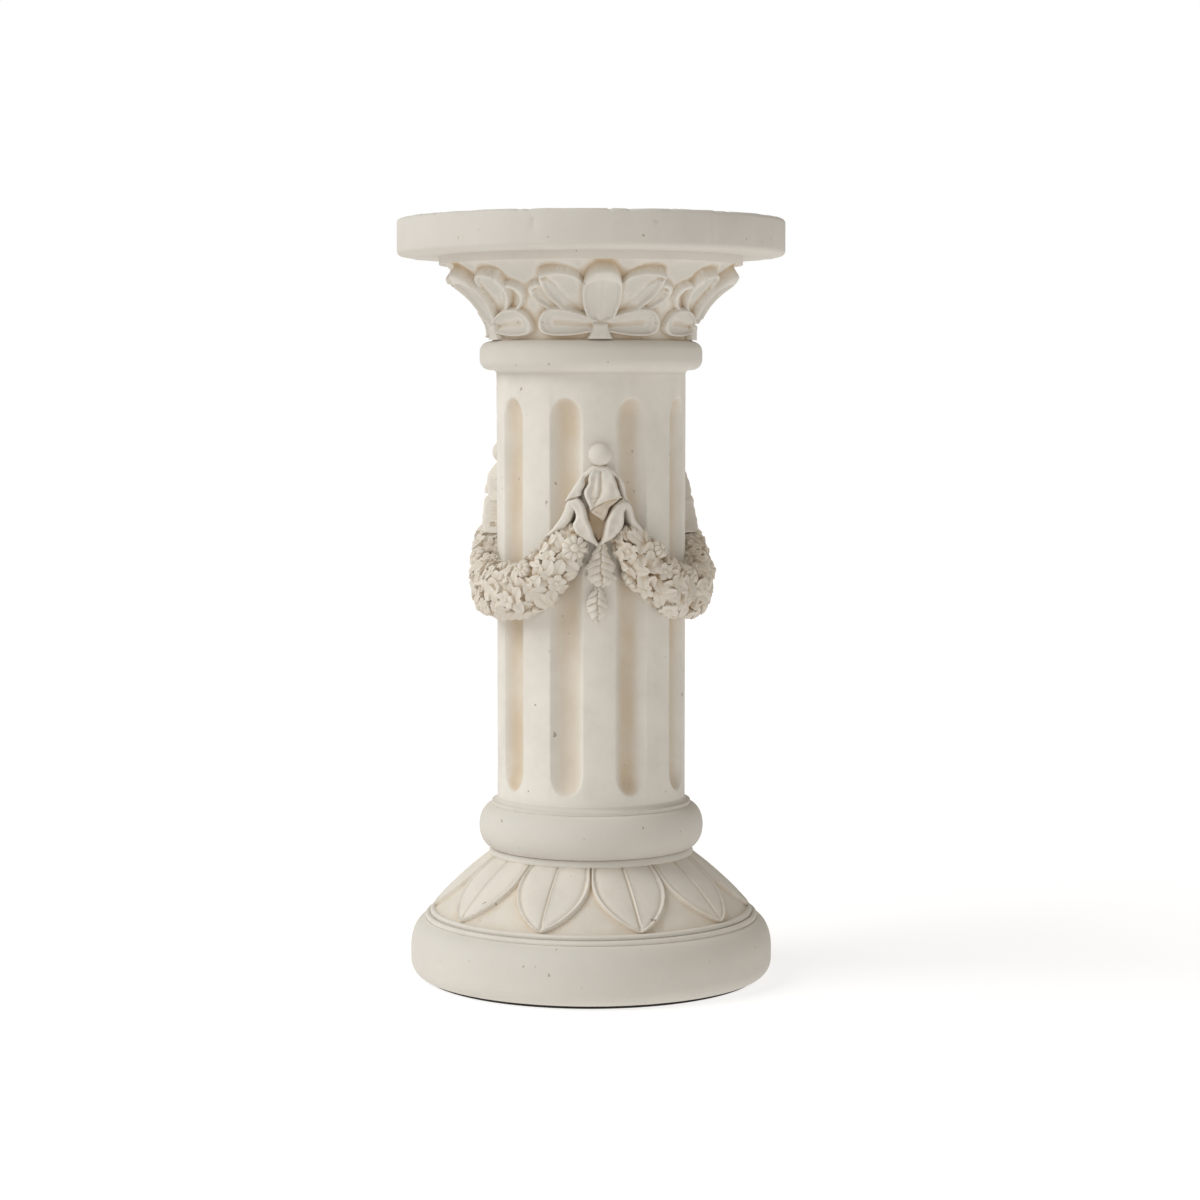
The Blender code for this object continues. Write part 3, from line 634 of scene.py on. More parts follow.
def turned_section(name, columns, bands, joint, pole):
    """One section of the turned body as a grid, from the last profile point of the section below.

    pole is 0 to close it to a point below, 1 to close it above, and None to leave both ends open.
    """
    angles = np.arange(columns) * 2 * math.pi / columns
    profile, reliefs, wash_and_shade = [], [], []
    if joint is not None and math.dist(joint, bands[0][0][0]) > JOINT_GAP:
        profile.append(joint[None, :])
        reliefs.append(np.zeros((1, columns)))
        wash_and_shade.append(np.zeros((1, columns)))
    for points, relief, share in bands:
        field = relief(angles, share)
        profile.append(points)
        reliefs.append(field)
        wash_and_shade.append(band_wash_and_shade(relief, field, angles, share))
    profile, field, wash_and_shade = np.concatenate(profile), np.concatenate(reliefs), np.concatenate(wash_and_shade)
    tangent = np.gradient(profile, axis=0)
    tangent /= np.linalg.norm(tangent, axis=1, keepdims=True)
    out, up = tangent[:, 1][:, None], -tangent[:, 0][:, None]
    radius, height = profile[:, 0][:, None] + out * field, profile[:, 1][:, None] + up * field
    flat = turned_point(angles[None, :], radius, height).reshape(-1, 3)
    shade = (wash_and_shade + crease_wash(profile)[:, None]).ravel()
    fans = NO_FANS
    if pole is not None:
        fans = fan(len(flat) - columns if pole else 0, columns, len(flat), pole == 0)
        flat = np.concatenate([flat, [[0, 0, SLAB_TOP if pole else BASE_BOTTOM]]])
        shade = np.append(shade, 0)
    return make_mesh(name, flat, grid_faces(len(profile), columns, True), fans, np.clip(shade, -1, 1))


def turned_body():
    """The turned body in sections, with its flutes, leaves and palmettes."""
    things, joint = [], None
    sections = column_sections()
    for k, (columns, bands) in enumerate(sections):
        pole = 0 if k == 0 else 1 if k == len(sections) - 1 else None
        things.append(turned_section(f"section_{k}", columns, bands, joint, pole))
        joint = bands[-1][0][-1]
    return things


def flute_wash(field, angles, heights):
    """Tan wash down each flute, wider and stronger in some than in others."""
    rng = np.random.default_rng(3)
    which, across = flute_turns(angles)
    middle = rng.uniform(-FLUTE_WASH_SHIFT, FLUTE_WASH_SHIFT, FLUTE_COUNT)
    width = rng.uniform(*FLUTE_WASH_WIDTHS, FLUTE_COUNT)
    strength = rng.uniform(*FLUTE_WASH_SHARES, FLUTE_COUNT)
    band = strength[which] * ridge(across - middle[which], width[which], 4)
    slow = 0.85 + 0.15 * np.sin(heights[:, None] * 31 + which[None, :] * 2.1)
    return band[None, :] * slow * step(0.0004, 0.0030, -field)


def band_wash_and_shade(relief, field, angles, share):
    """Where the tan wash has stayed on one band, with grey painted shade as values below 0."""
    if relief is flute_relief:
        return flute_wash(field, angles, share)
    if relief is palmette_relief:
        ground = BELL_WASH * step(0.0030, 0.0, field) * step(0.70, 0.25, share)[:, None]
        tan = np.clip(ground + 0.9 * hollowness(field, 5, 0.0030, True), 0, 1)
        rims = hollowness(-field, 4, 0.0016, True)
        # Grey painted shade where the carving's tan is faint, with its raised rims left bright.
        return tan - CARVING_PAINTED_SHADE * (1 - rims) * step(0.30, 0.10, tan)
    if relief is leaf_relief:
        ground = SLOPE_WASH * step(0.0012, 0.0, field)
        return np.clip(LEAF_WASH + ground + 0.7 * hollowness(field, 4, 0.0020, True), 0, 1)
    # Grey painted shade on the slab's rounds and edge and on the plain mouldings.
    return np.full_like(field, SLAB_PAINTED_SHADE if relief is slab_relief else MOULDING_PAINTED_SHADE if share[0] == 0 else 0)


def crease_wash(profile):
    """The wash left in the creases between mouldings."""
    low = (ROLL_TOP, SLOPE_FOOT, SLOPE_NECK, LOWER_COLLAR_BOTTOM)
    high = (SHAFT_BOTTOM, SHAFT_TOP, BELL_FOOT, BELL_TOP)
    near = sum(ridge(profile[:, 1] - level, CREASE_WIDTH) for level in low + high)
    return CREASE_WASH * np.clip(near, 0, 1) * (profile[:, 0] > 0.09)


# The swags
def swag_thickness(t):
    """How thick a swag is at t, from -1 to 1 along it, rounded off beyond its ends."""
    past = np.clip((np.abs(t) - SWAG_END + SWAG_END_ROUND) / SWAG_END_ROUND, 0, 1)
    fullness = 1 - np.clip(np.abs(t), 0, 1) ** 4
    whole = SWAG_END_THICKNESS + (SWAG_THICKNESS - SWAG_END_THICKNESS) * fullness
    return whole * lifted(dome(past), SWAG_END_SHARE)


def swag_base(t, wrap):
    """The plain surface of a swag over a grid of t, along it, and wrap, the angle round it."""
    thickness = swag_thickness(t)
    depth = SWAG_PROUD * thickness / SWAG_THICKNESS * lifted(np.cos(wrap), SWAG_SIDE_SHARE)
    sink = np.clip((np.abs(wrap) - SWAG_SINK_TURN) / (SWAG_WRAP - SWAG_SINK_TURN), 0, 1)
    depth = depth - SWAG_SINK * sink
    line_radius = SHAFT_RADIUS + SWAG_PROUD / 2
    rise = SWAG_SAG * SWAG_SAG_POWER * np.abs(t) ** (SWAG_SAG_POWER - 1) * np.sign(t)
    lean = np.arctan2(rise, line_radius * SWAG_SPREAD / 2)
    offset = thickness / 2 * np.sin(wrap)
    height = SWAG_LOW + SWAG_SAG * np.abs(t) ** SWAG_SAG_POWER + offset * np.cos(lean)
    angle = SWAG_SPREAD / 2 * t - offset * np.sin(lean) / line_radius
    return turned_point(angle, SHAFT_RADIUS + depth, height)


def scattered(rng, kinds, extent, first):
    """Places (kind, x, y, turn, size, room) for the flowers and leaves, each at its own spacing."""
    placed = [(rosette, *first, END_ROSETTE_TURN, ROSETTE_RADIUS, kinds[0][4])]
    for kind, size, tries, spacing, room in kinds:
        for _ in range(tries):
            x, y = rng.uniform(-extent[0], extent[0]), rng.uniform(-extent[1], extent[1])
            apart = [
                math.hypot(x - other[1], y - other[2]) - max(spacing if other[0] is kind else room, other[5])
                for other in placed
            ]
            if min(apart) > 0:
                turn = rng.uniform(0, 2 * math.pi)
                placed.append((kind, x, y, turn, size * rng.uniform(*FLOWER_SIZES), room))
    return placed


def rosette(x, y, radius):
    """A daisy with ten petals round a button."""
    out = np.hypot(x, y) / radius
    groove = np.abs(np.sin(5 * np.arctan2(y, x)))
    edge = lifted(groove**0.6, ROSETTE_NOTCH)
    petals = ROSETTE_ROUND * dome(out / edge, 3) + ROSETTE_FOOT
    petals = petals - ROSETTE_GROOVE * (1 - groove) ** 2.5 * step(0.25, 0.5, out)
    button = BUTTON_FOOT + BUTTON_ROUND * dome(out / BUTTON_SHARE)
    height = np.where(out < BUTTON_SHARE, button, petals - ROSETTE_DIP * step(0.5, 0.3, out))
    return np.where(out < edge, height, NOTHING)


def blossom(x, y, radius):
    """Five cupped petals round a small eye."""
    out = np.hypot(x, y) / radius
    lobe = np.abs(np.cos(2.5 * np.arctan2(y, x)))
    edge = lifted(lobe**0.5, BLOSSOM_NOTCH)
    cup = CUP_FOOT + CUP_RISE * np.sin(math.pi / 2 * np.clip(out / edge, 0, 1)) * lifted(lobe, 0.5)
    eye = EYE_FOOT + EYE_ROUND * dome(out / EYE_SHARE)
    return np.where(out < EYE_SHARE, eye, np.where(out < edge, cup, NOTHING))


def berry(x, y, radius):
    out = np.hypot(x, y) / radius
    return np.where(out < 1, BERRY_FOOT + 0.9 * radius * dome(out), NOTHING)


def sprig(x, y, width):
    """A rounded, pointed and slightly cupped leaf, lifted at its tip."""
    along = y / (SPRIG_LENGTH * width / SPRIG_WIDTH)
    half = width * np.clip(1 - np.abs(along) ** 2.4, 0, 1) ** 0.7 * (1 - 0.15 * along)
    across = np.abs(x) / np.maximum(half, 1e-6)
    vein = SPRIG_VEIN * ridge(x, SPRIG_VEIN_WIDTH)
    blade = SPRIG_FOOT + SPRIG_CUP * across**2 + SPRIG_LIFT * along - vein
    return np.where((across < 1) & (np.abs(along) < 1), blade, NOTHING)


# Each kind's size, how many tries place it, its spacing from its own kind, and its room from others
SWAG_KINDS = (
    (rosette, ROSETTE_RADIUS, 60, 0.044, 0.0150),
    (blossom, BLOSSOM_RADIUS, 60, 0.026, 0.0110),
    (berry, BERRY_RADIUS, 12, 0.010, 0.0060),
    (sprig, SPRIG_WIDTH, 2600, 0.0086, 0.0),
    (sprig, 0.9 * SPRIG_WIDTH, 2600, 0.0070, 0.0),
)


def swag(index):
    """One hanging swag of flowers, berries and small leaves."""
    rng = np.random.default_rng(21 + index)
    t = np.linspace(-SWAG_END, SWAG_END, SWAG_CELLS[0])[None, :]
    wrap = np.linspace(-SWAG_WRAP, SWAG_WRAP, SWAG_CELLS[1])[:, None]
    base = swag_base(t, wrap)
    centre = SWAG_CELLS[1] // 2
    along_steps = np.linalg.norm(np.diff(base[centre], axis=0), axis=1)
    s = np.concatenate([[0], np.cumsum(along_steps)])
    s = (s - s[-1] / 2)[None, :]
    round_steps = np.linalg.norm(np.diff(base, axis=0), axis=2)
    w = np.concatenate([np.zeros((1, SWAG_CELLS[0])), np.cumsum(round_steps, 0)])
    w = w - w[centre]
    field = np.full(w.shape, SWAG_GROUND)
    first_column = int(np.abs(t[0] - END_ROSETTE[0]).argmin())
    first = (float(s[0, first_column]), float(np.interp(END_ROSETTE[1], wrap[:, 0], w[:, first_column])))
    for kind, x, y, turn, size, _ in scattered(rng, SWAG_KINDS, SWAG_FLOWER_ROOM, first):
        near_s, near_w = s - x, w - y
        local_x = near_s * math.cos(turn) + near_w * math.sin(turn)
        local_y = near_w * math.cos(turn) - near_s * math.sin(turn)
        lift = SWAG_GROUND + rng.uniform(0, SWAG_LIFT)
        height = kind(local_x, local_y, size)
        field = np.where(height > NOTHING, np.maximum(field, height + lift), field)
    wash_and_shade = lifted(hollowness(field, 3, 0.0020), SWAG_WASH)
    fade = step(1.0, 0.94, np.abs(wrap) / SWAG_WRAP)
    points = base + surface_normals(base) * (field * fade)[..., None]
    turn = 2 * math.pi * (index + 0.5) / SWAG_COUNT
    points = rotated(points.reshape(-1, 3), turn)
    faces = grid_faces(SWAG_CELLS[1], SWAG_CELLS[0], False)
    return make_mesh(f"swag_{index}", points, faces, NO_FANS, wash_and_shade)


def rotated(points, angle):
    cos, sin = math.cos(angle), math.sin(angle)
    x, y = points[:, 0], points[:, 1]
    return np.stack([x * cos - y * sin, x * sin + y * cos, points[:, 2]], -1)


# The knots, over the shaft's chart: how far across, and how high above the swag's low. The hanging
# folds and leaves are rows of (height, left edge, right edge, how proud) in mm, from the top down.
DROP_LEAF = (
    (52, -5, 6.5, 11), (46, -6, 8, 11.5), (41, -9, 9.2, 12),
    (35, -10.8, 12, 12.6), (28, -15.6, 15.3, 12.6), (22, -12.8, 13.6, 12.4),
    (17, -14.4, 17.2, 12), (11, -9, 12, 11), (5.7, -3.5, 2, 9),
)
DROP_BUD = (
    (9, -5, 0, 7), (4, -9, 4.5, 9.5), (-3, -13, 7.5, 12),
    (-10.3, -13.8, 8.5, 13), (-18, -12, 7, 12), (-25, -8, 3, 9.5),
    (-30, -4, -2, 7),
)
TULIP_LEFT = (
    (94.5, -25.5, -19, 13.5), (92.5, -28, -16.5, 15), (89, -28, -14, 16),
    (85.5, -26, -12.8, 16.5), (81, -23, -11.6, 17), (74.6, -22.6, -10.4, 17.5),
    (68.5, -25, -8.2, 18), (62.3, -23.4, -6.2, 18), (58, -20.5, -4.8, 17.8),
    (54, -15.5, -3, 17.2), (50.5, -9, -1.6, 16.2), (47.8, -4.5, -2, 15),
)
TULIP_RIGHT = (
    (93.5, 17.5, 23, 13.5), (91, 15, 25, 15), (88, 12, 25, 16),
    (84.5, 10, 23.5, 16.8), (80.8, 8, 21.4, 17.4), (74.6, 5.2, 21, 18.2),
    (68.5, 3.8, 20.5, 18.6), (62.3, 2.6, 17.6, 18.4), (57, 1.4, 13.4, 17.8),
    (53, -0.2, 8.4, 17), (50, -1.8, 3.4, 16), (48, -2.6, -0.6, 15),
)
MOUTH = (
    (86, -13, 11, 4), (76, -11, 6.5, 2.5), (70, -10, 5.5, 2),
    (62, -7.5, 4.2, 2.5), (56, -4.5, 2.2, 4), (51.5, -2.5, -0.8, 6),
)
HEM = (
    (96, 14, 20.2, 13.5), (92.5, 3, 17.5, 14.2), (88.5, -3, 13, 14.5),
    (84.5, -8, 8.6, 14.2), (80.2, -9.2, 7.2, 13.8), (76, -4, 5.8, 13.4),
    (72, 1.8, 3.4, 13),
)
CENTRE_FOLD = (
    (126.2, -7, 7.5, 9.5), (121.5, -9, 10, 12), (117.7, -10.5, 12.2, 14),
    (113, -11.6, 13.2, 15.6), (109, -11.4, 14.6, 16.6), (105.4, -13, 15.6, 17.4),
    (101.7, -14.8, 16.6, 18), (97.5, -15, 17.8, 18.4), (94.5, -14.2, 19.2, 18.6),
    (92, -13.2, 8, 18.6), (88.5, -11.8, 0.8, 18.4), (84.5, -10.4, -4.8, 18),
    (80.8, -9.5, -8.7, 17.2),
)
CAPE_BACK = (
    (125, -6, 6, 6), (117.7, -13, 13, 7), (111, -17, 17, 7),
    (105, -19, 18.5, 6), (100, -12, 12, 5),
)
UPPER_LEFT = (
    (125.5, -7.5, -1, 10), (121, -12.8, -4, 11.8), (117.7, -17.2, -7, 12.8),
    (113, -20, -12.8, 13.8), (107, -23.4, -12.8, 14.2), (101, -27, -15.8, 14.2),
    (97, -29.4, -16.4, 13.6), (94.5, -31, -20.5, 13), (92, -32.4, -26.2, 12.4),
    (89.5, -33.8, -31.8, 11.4),
)
UPPER_RIGHT = (
    (125.5, 1.5, 8, 10), (121, 4, 13.2, 11.8), (117.7, 7, 16.6, 12.8),
    (113, 14.2, 20, 13.6), (107, 15.8, 22.6, 13.6), (101, 17.2, 23.8, 13.2),
    (96, 19, 24.4, 12.6), (91.5, 22.2, 27.2, 12), (88, 25.8, 29.6, 11.2),
    (86.2, 28.2, 29.6, 10.4),
)
# The lower lappets are strokes of (across, height, half width, how proud) in mm, from root to tip
LOWER_LEFT = (
    (-21.5, 93, 3, 13), (-25, 89, 5.2, 15.2), (-27.6, 82, 5, 15.6),
    (-30.2, 75, 5.2, 15.8), (-34.2, 68.8, 5, 15.8), (-39.5, 63.4, 3.9, 15.4),
    (-45.5, 58.8, 2.8, 14.8), (-51, 56.4, 1.4, 14),
)
LOWER_RIGHT = (
    (21, 92.5, 3, 13), (23.8, 88.5, 4.4, 15.2), (25.6, 82, 4, 15.6),
    (27.4, 75, 4, 15.8), (30.5, 68.5, 4.2, 15.8), (36.2, 62.3, 3.6, 15.4),
    (43, 58.4, 2.8, 14.8), (46.5, 56.2, 1.7, 14),
)
FOLD_CREASE = (
    (0.4, 119, 1, 0), (-0.2, 105.4, 1.1, 0), (-1.5, 96.8, 1.2, 0),
    (-6.4, 86.9, 1, 0),
)
FOLD_CREASE_DEPTH = 0.0028
FOLD_OFFSET = 0.0070
FOLD_HOLLOW = 0.0026
FOLD_HOLLOW_WIDTH = 0.0036
FOLD_SWELL = 0.0016
FOLD_SWELL_WIDTH = 0.0040
# Each leafy form, how many rows of leaves it has, and how deep they are cut
LEAFY_FORMS = ((DROP_LEAF, 6.5, 0.0028), (DROP_BUD, 5.5, 0.0026))
LEAFY_EDGE_SHARE = 0.40
LEAFY_MIDRIB_WIDTH = 0.0011
LEAFY_NOTCH = 0.0012
CLOTH_ROUND = 0.0046
CLOTH_EDGE_SHARE = 0.42
CLOTH_HOLLOW = 0.0020
CLOTH_HOLLOW_INSET = (0.0024, 0.0060)
CLOTH_HOLLOW_HALF = (0.0045, 0.0080)
KNOT_GROUND = -0.012
KNOT_CUT = -0.0115
KNOT_HALF_WIDTH = 0.056
KNOT_HEIGHTS = (-0.038, 0.150)
CLOTH_LUMPS = 0.0006


def spline_rows(rows, count):
    """Rows in mm, resampled in metres along a smooth curve through them."""
    rows = np.array(rows) / 1000
    padded = np.concatenate([2 * rows[:1] - rows[1:2], rows, 2 * rows[-1:] - rows[-2:-1]])
    out = []
    for i in range(len(rows) - 1):
        p0, p1, p2, p3 = padded[i : i + 4]
        for u in np.linspace(0, 1, count, endpoint=False):
            out.append(0.5 * (2 * p1 + (p2 - p0) * u + (2 * p0 - 5 * p1 + 4 * p2 - p3) * u**2
                              + (3 * p1 - p0 - 3 * p2 + p3) * u**3))
    return np.array(out + [rows[-1]])


def stroke(x, h, rows):
    """(along, across, half width, proud) of the nearest place on a stroke, for each chart point."""
    line_rows = spline_rows(rows, 10)
    best = np.full(x.shape, np.inf)
    found = [np.zeros(x.shape) for _ in range(4)]
    last = len(line_rows) - 1
    for i in range(last):
        a, b = line_rows[i], line_rows[i + 1]
        gap = b[:2] - a[:2]
        length = float(gap @ gap)
        raw = ((x - a[0]) * gap[0] + (h - a[1]) * gap[1]) / length
        share = np.clip(raw, 0, 1)
        px, ph = a[0] + gap[0] * share, a[1] + gap[1] * share
        distance = np.hypot(x - px, h - ph)
        half = a[2] + (b[2] - a[2]) * share
        ratio = distance / half
        side = np.sign(gap[1] * (x - px) - gap[0] * (h - ph))
        nearer = ratio < best
        best = np.where(nearer, ratio, best)
        values = ((i + share) / last, -side * ratio, half, a[3] + (b[3] - a[3]) * share)
        found = [np.where(nearer, value, old) for value, old in zip(values, found)]
    return found


def fused(*shapes):
    """Shapes of (inside, height) that run into one another where they meet."""
    inside = np.max([shape[0] for shape in shapes], axis=0)
    return inside, np.max([shape[0] * shape[1] for shape in shapes], axis=0) / np.maximum(inside, 1e-6)


def rounded(edge, proud, half):
    """The height of cloth: a rounded edge, a slight rim and a shallow hollow inside it."""
    hollow = CLOTH_HOLLOW * step(*CLOTH_HOLLOW_INSET, edge) * step(*CLOTH_HOLLOW_HALF, half)
    return proud * lifted(crest(edge, CLOTH_ROUND), CLOTH_EDGE_SHARE) - hollow


def lappet(x, h, rows):
    """(inside, height) of a lappet of cloth along a stroke."""
    _, across, half, proud = stroke(x, h, rows)
    edge = (1 - np.abs(across)) * half
    return step(-0.0002, 0.0009, edge), rounded(edge, proud, half)


def hanging(x, h, rows):
    """(along, across, distance in from the edge, half width, proud) of a hanging form."""
    fine = spline_rows(rows, 8)[::-1]
    heights = fine[:, 0]
    left, right, proud = (np.interp(h, heights, fine[:, k]) for k in (1, 2, 3))
    slopes = [np.interp(h, heights, np.gradient(fine[:, k], heights)) for k in (1, 2)]
    half = np.maximum((right - left) / 2, 1e-5)
    across = (x - (left + right) / 2) / half
    edge = np.minimum((x - left) / np.hypot(1, slopes[0]), (right - x) / np.hypot(1, slopes[1]))
    edge = np.minimum(edge, np.minimum(heights[-1] - h, h - heights[0] + 0.0008))
    return (heights[-1] - h) / (heights[-1] - heights[0]), across, edge, half, proud


def cloth(x, h, rows):
    """(inside, height) of a hanging fold."""
    _, _, edge, half, proud = hanging(x, h, rows)
    return step(-0.0002, 0.0010, edge), rounded(edge, proud, half)


def leafy(field, x, h, rows, scales, depth):
    """The field under a bunch of small overlapping leaves that point down on each side of a midrib."""
    along, across, edge, half, proud = hanging(x, h, rows)
    row = scales * along - 0.9 * np.abs(across)
    saw = np.mod(row + 0.5 * (across > 0), 1)
    height = proud * lifted(dome(across), LEAFY_EDGE_SHARE)
    height = height + depth * (saw**0.8 - 0.6) * step(0.0, 0.003, edge)
    height = height - 0.6 * depth * ridge(across * half, LEAFY_MIDRIB_WIDTH)
    notch = LEAFY_NOTCH * (1 - saw)
    return laid(field, step(-0.0003 + notch, 0.0011 + notch, edge), height)


def folds_over(x, h):
    """The cape under the ball: a centre fold with a crease, and a lappet on each side."""
    inside, height = cloth(x, h, CENTRE_FOLD)
    _, across, _, _ = stroke(x, h, FOLD_CREASE)
    crease = FOLD_CREASE_DEPTH * np.exp(-(across**2) / 2)
    hollow = FOLD_HOLLOW * ridge(x + FOLD_OFFSET, FOLD_HOLLOW_WIDTH) * step(0.120, 0.110, h)
    swell = FOLD_SWELL * ridge(x - FOLD_OFFSET, FOLD_SWELL_WIDTH) * step(0.124, 0.108, h)
    height = height + (swell - crease - hollow) * step(0.004, 0.008, height)
    return fused((inside, height), *(cloth(x, h, rows) for rows in (UPPER_LEFT, UPPER_RIGHT, CAPE_BACK)))


def knot_field(x, h):
    """(field, tan wash with painted shade in the mouth) of a carved knot: a leafy drop, a tulip of cloth
    with lappets, and a cape.
    """
    field = np.full(x.shape, KNOT_GROUND)
    for rows, scales, depth in LEAFY_FORMS:
        field = leafy(field, x, h, rows, scales, depth)
    wash_and_shade = np.full(x.shape, KNOT_WASH)
    layers = (
        # The mouth's hollow: tan wash with painted shade.
        (cloth(x, h, MOUTH), MOUTH_WASH_AND_SHADE),
        (fused(lappet(x, h, LOWER_LEFT), cloth(x, h, TULIP_LEFT)), KNOT_WASH),
        (fused(lappet(x, h, LOWER_RIGHT), cloth(x, h, TULIP_RIGHT)), KNOT_WASH),
        (cloth(x, h, HEM), HEM_WASH),
        (folds_over(x, h), KNOT_WASH),
    )
    for (inside, height), tint in layers:
        field = laid(field, inside, height)
        wash_and_shade = laid(wash_and_shade, inside, tint)
    out = np.hypot(x, h - BALL_ABOVE_SWAG) / BALL_RADIUS
    ball = BALL_PROUD - BALL_RADIUS + BALL_RADIUS * dome(out)
    lumps = CLOTH_LUMPS * np.sin(430 * x + 170 * h) * np.sin(390 * h - 160 * x) * (field > 0.006)
    return np.where(out < 0.995, np.maximum(field, ball), field + lumps), wash_and_shade


def knot(index):
    """One knot as a grid over the shaft, with what lies below the shaft's surface left out."""
    x = np.arange(-KNOT_HALF_WIDTH, KNOT_HALF_WIDTH, KNOT_CELL)[None, :]
    h = np.arange(*KNOT_HEIGHTS, KNOT_CELL)[:, None]
    x, h = np.broadcast_arrays(x, h)
    field, wash_and_shade = knot_field(x, h)
    wash_and_shade = np.clip(wash_and_shade + 0.8 * hollowness(field, 4, 0.0030), 0, 1) * (field > -0.008)
    points = turned_point(x / SHAFT_RADIUS, SHAFT_RADIUS + field, SWAG_LOW + h)
    points = rotated(points.reshape(-1, 3), 2 * math.pi * index / SWAG_COUNT)
    faces = grid_faces(*x.shape, False)
    faces = faces[(field.ravel()[faces] > KNOT_CUT).any(1)]
    used, faces = np.unique(faces, return_inverse=True)
    return make_mesh(f"knot_{index}", points[used], faces.reshape(-1, 4), NO_FANS, wash_and_shade.ravel()[used])


# Materials
def node(tree, kind, place, **values):
    made = tree.nodes.new(kind)
    made.location = place
    for name, value in values.items():
        setattr(made, name, value)
    return made


def filled(made, names, values):
    for name, value in zip(names, values):
        made.inputs[name].default_value = value


def noise(tree, coordinates, place, kind):
    made = node(tree, "ShaderNodeTexNoise", place)
    filled(made, ("Scale", "Detail", "Roughness"), kind)
    tree.links.new(coordinates, made.inputs["Vector"])
    return made.outputs["Fac"]


def patches(tree, coordinates, place, kind):
    """Noise of a kind, read over a range."""
    source = noise(tree, coordinates, place, kind[:3])
    made = node(tree, "ShaderNodeMapRange", (place[0] + 200, place[1]))
    filled(made, ("From Min", "From Max", "To Min", "To Max"), kind[3:])
    tree.links.new(source, made.inputs["Value"])
    return made.outputs["Result"]


def mixed(tree, share, a, b, place):
    made = node(tree, "ShaderNodeMix", place, data_type="RGBA")
    tree.links.new(share, made.inputs["Factor"])
    for socket, value in ((made.inputs[6], a), (made.inputs[7], b)):
        if isinstance(value, tuple):
            socket.default_value = value
        else:
            tree.links.new(value, socket)
    return made.outputs[2]


def maths(tree, operation, a, b, place):
    made = node(tree, "ShaderNodeMath", place, operation=operation, use_clamp=True)
    for socket, value in ((made.inputs[0], a), (made.inputs[1], b)):
        if isinstance(value, float):
            socket.default_value = value
        else:
            tree.links.new(value, socket)
    return made.outputs[0]


def plain_material(name, colour, roughness):
    """A plain material, with its node tree and its shader."""
    made = bpy.data.materials.new(name)
    made.use_nodes = True
    shader = made.node_tree.nodes["Principled BSDF"]
    filled(shader, ("Base Color", "Roughness"), (colour, roughness))
    return made, made.node_tree, shader


def stone_material():
    """Off-white stone with mottling, air holes, a tan wash, and grey painted shade where that is below 0."""
    made, tree, shader = plain_material("cast stone", STONE_LIGHT, STONE_ROUGHNESS)
    shader.inputs["Specular IOR Level"].default_value = STONE_SHEEN
    coordinates = node(tree, "ShaderNodeTexCoord", (-1500, 0)).outputs["Object"]
    wash_and_shade = node(tree, "ShaderNodeAttribute", (-1500, 400), attribute_name="wash_and_shade").outputs["Fac"]
    blotch = patches(tree, coordinates, (-1300, 250), BLOTCH)
    share = maths(tree, "MULTIPLY", wash_and_shade, blotch, (-900, 350))
    mottle = patches(tree, coordinates, (-1300, 0), MOTTLE)
    stain = patches(tree, coordinates, (-1300, -250), STAIN)
    plain = mixed(tree, mottle, STONE_LIGHT, STONE_GREY, (-700, 100))
    plain = mixed(tree, stain, plain, STONE_WASH, (-500, 50))
    # Painted shade: where the wash attribute is below 0, the colour turns towards grey.
    painted_shade = maths(tree, "MULTIPLY", wash_and_shade, -1.0, (-900, 550))
    plain = mixed(tree, painted_shade, plain, STONE_GREY, (-400, 350))
    colour = mixed(tree, share, plain, STONE_WASH, (-300, 200))
    holes = patches(tree, coordinates, (-900, -600), HOLES)
    speckled = mixed(tree, holes, colour, STONE_HOLE, (-150, 200))
    tree.links.new(speckled, shader.inputs["Base Color"])
    grain = noise(tree, coordinates, (-900, -400), GRAIN)
    rough = maths(tree, "MULTIPLY", grain, GRAIN_RELIEF, (-500, -450))
    pitted = maths(tree, "MULTIPLY", holes, HOLE_RELIEF, (-500, -600))
    relief = maths(tree, "SUBTRACT", rough, pitted, (-350, -500))
    bump = node(tree, "ShaderNodeBump", (-200, -400))
    filled(bump, ("Strength", "Distance"), (BUMP_STRENGTH, BUMP_DISTANCE))
    tree.links.new(relief, bump.inputs["Height"])
    tree.links.new(bump.outputs["Normal"], shader.inputs["Normal"])
    return made


def pad_material():
    made, tree, shader = plain_material("pad", PAD_COLOUR, PAD_ROUGHNESS)
    coordinates = node(tree, "ShaderNodeTexCoord", (-900, 0)).outputs["Object"]
    flecks = patches(tree, coordinates, (-700, 0), PAD_FLECKS)
    pale = tuple(PAD_FLECK_SHARE * c for c in PAD_COLOUR[:3]) + (1,)
    colour = mixed(tree, flecks, PAD_COLOUR, pale, (-300, 0))
    tree.links.new(colour, shader.inputs["Base Color"])
    return made


# Pieces
def joined(name, things):
    """One object from several, in place."""
    target = things[0]
    with bpy.context.temp_override(
        active_object=target, object=target, selected_objects=things, selected_editable_objects=things
    ):
        bpy.ops.object.join()
    target.name = name
    target.data.name = name
    return target


def slimmed(thing, triangles):
    """The object with its flat and gently curved parts in fewer triangles."""
    thing.data.calc_loop_triangles()
    now = len(thing.data.loop_triangles)
    if now <= triangles:
        return thing
    decimate = thing.modifiers.new("Decimate", "DECIMATE")
    decimate.ratio = triangles / now
    graph = bpy.context.evaluated_depsgraph_get()
    mesh = bpy.data.meshes.new_from_object(thing.evaluated_get(graph))
    thing.modifiers.clear()
    old = thing.data
    thing.data = mesh
    bpy.data.meshes.remove(old)
    mesh.polygons.foreach_set("use_smooth", np.ones(len(mesh.polygons), bool))
    mesh.set_sharp_from_angle(angle=SHARP_ANGLE)
    return thing


def pedestal_column():
    things = turned_body()
    things += [swag(index) for index in range(SWAG_COUNT)]
    things += [knot(index) for index in range(SWAG_COUNT)]
    return joined("carved_column", things)


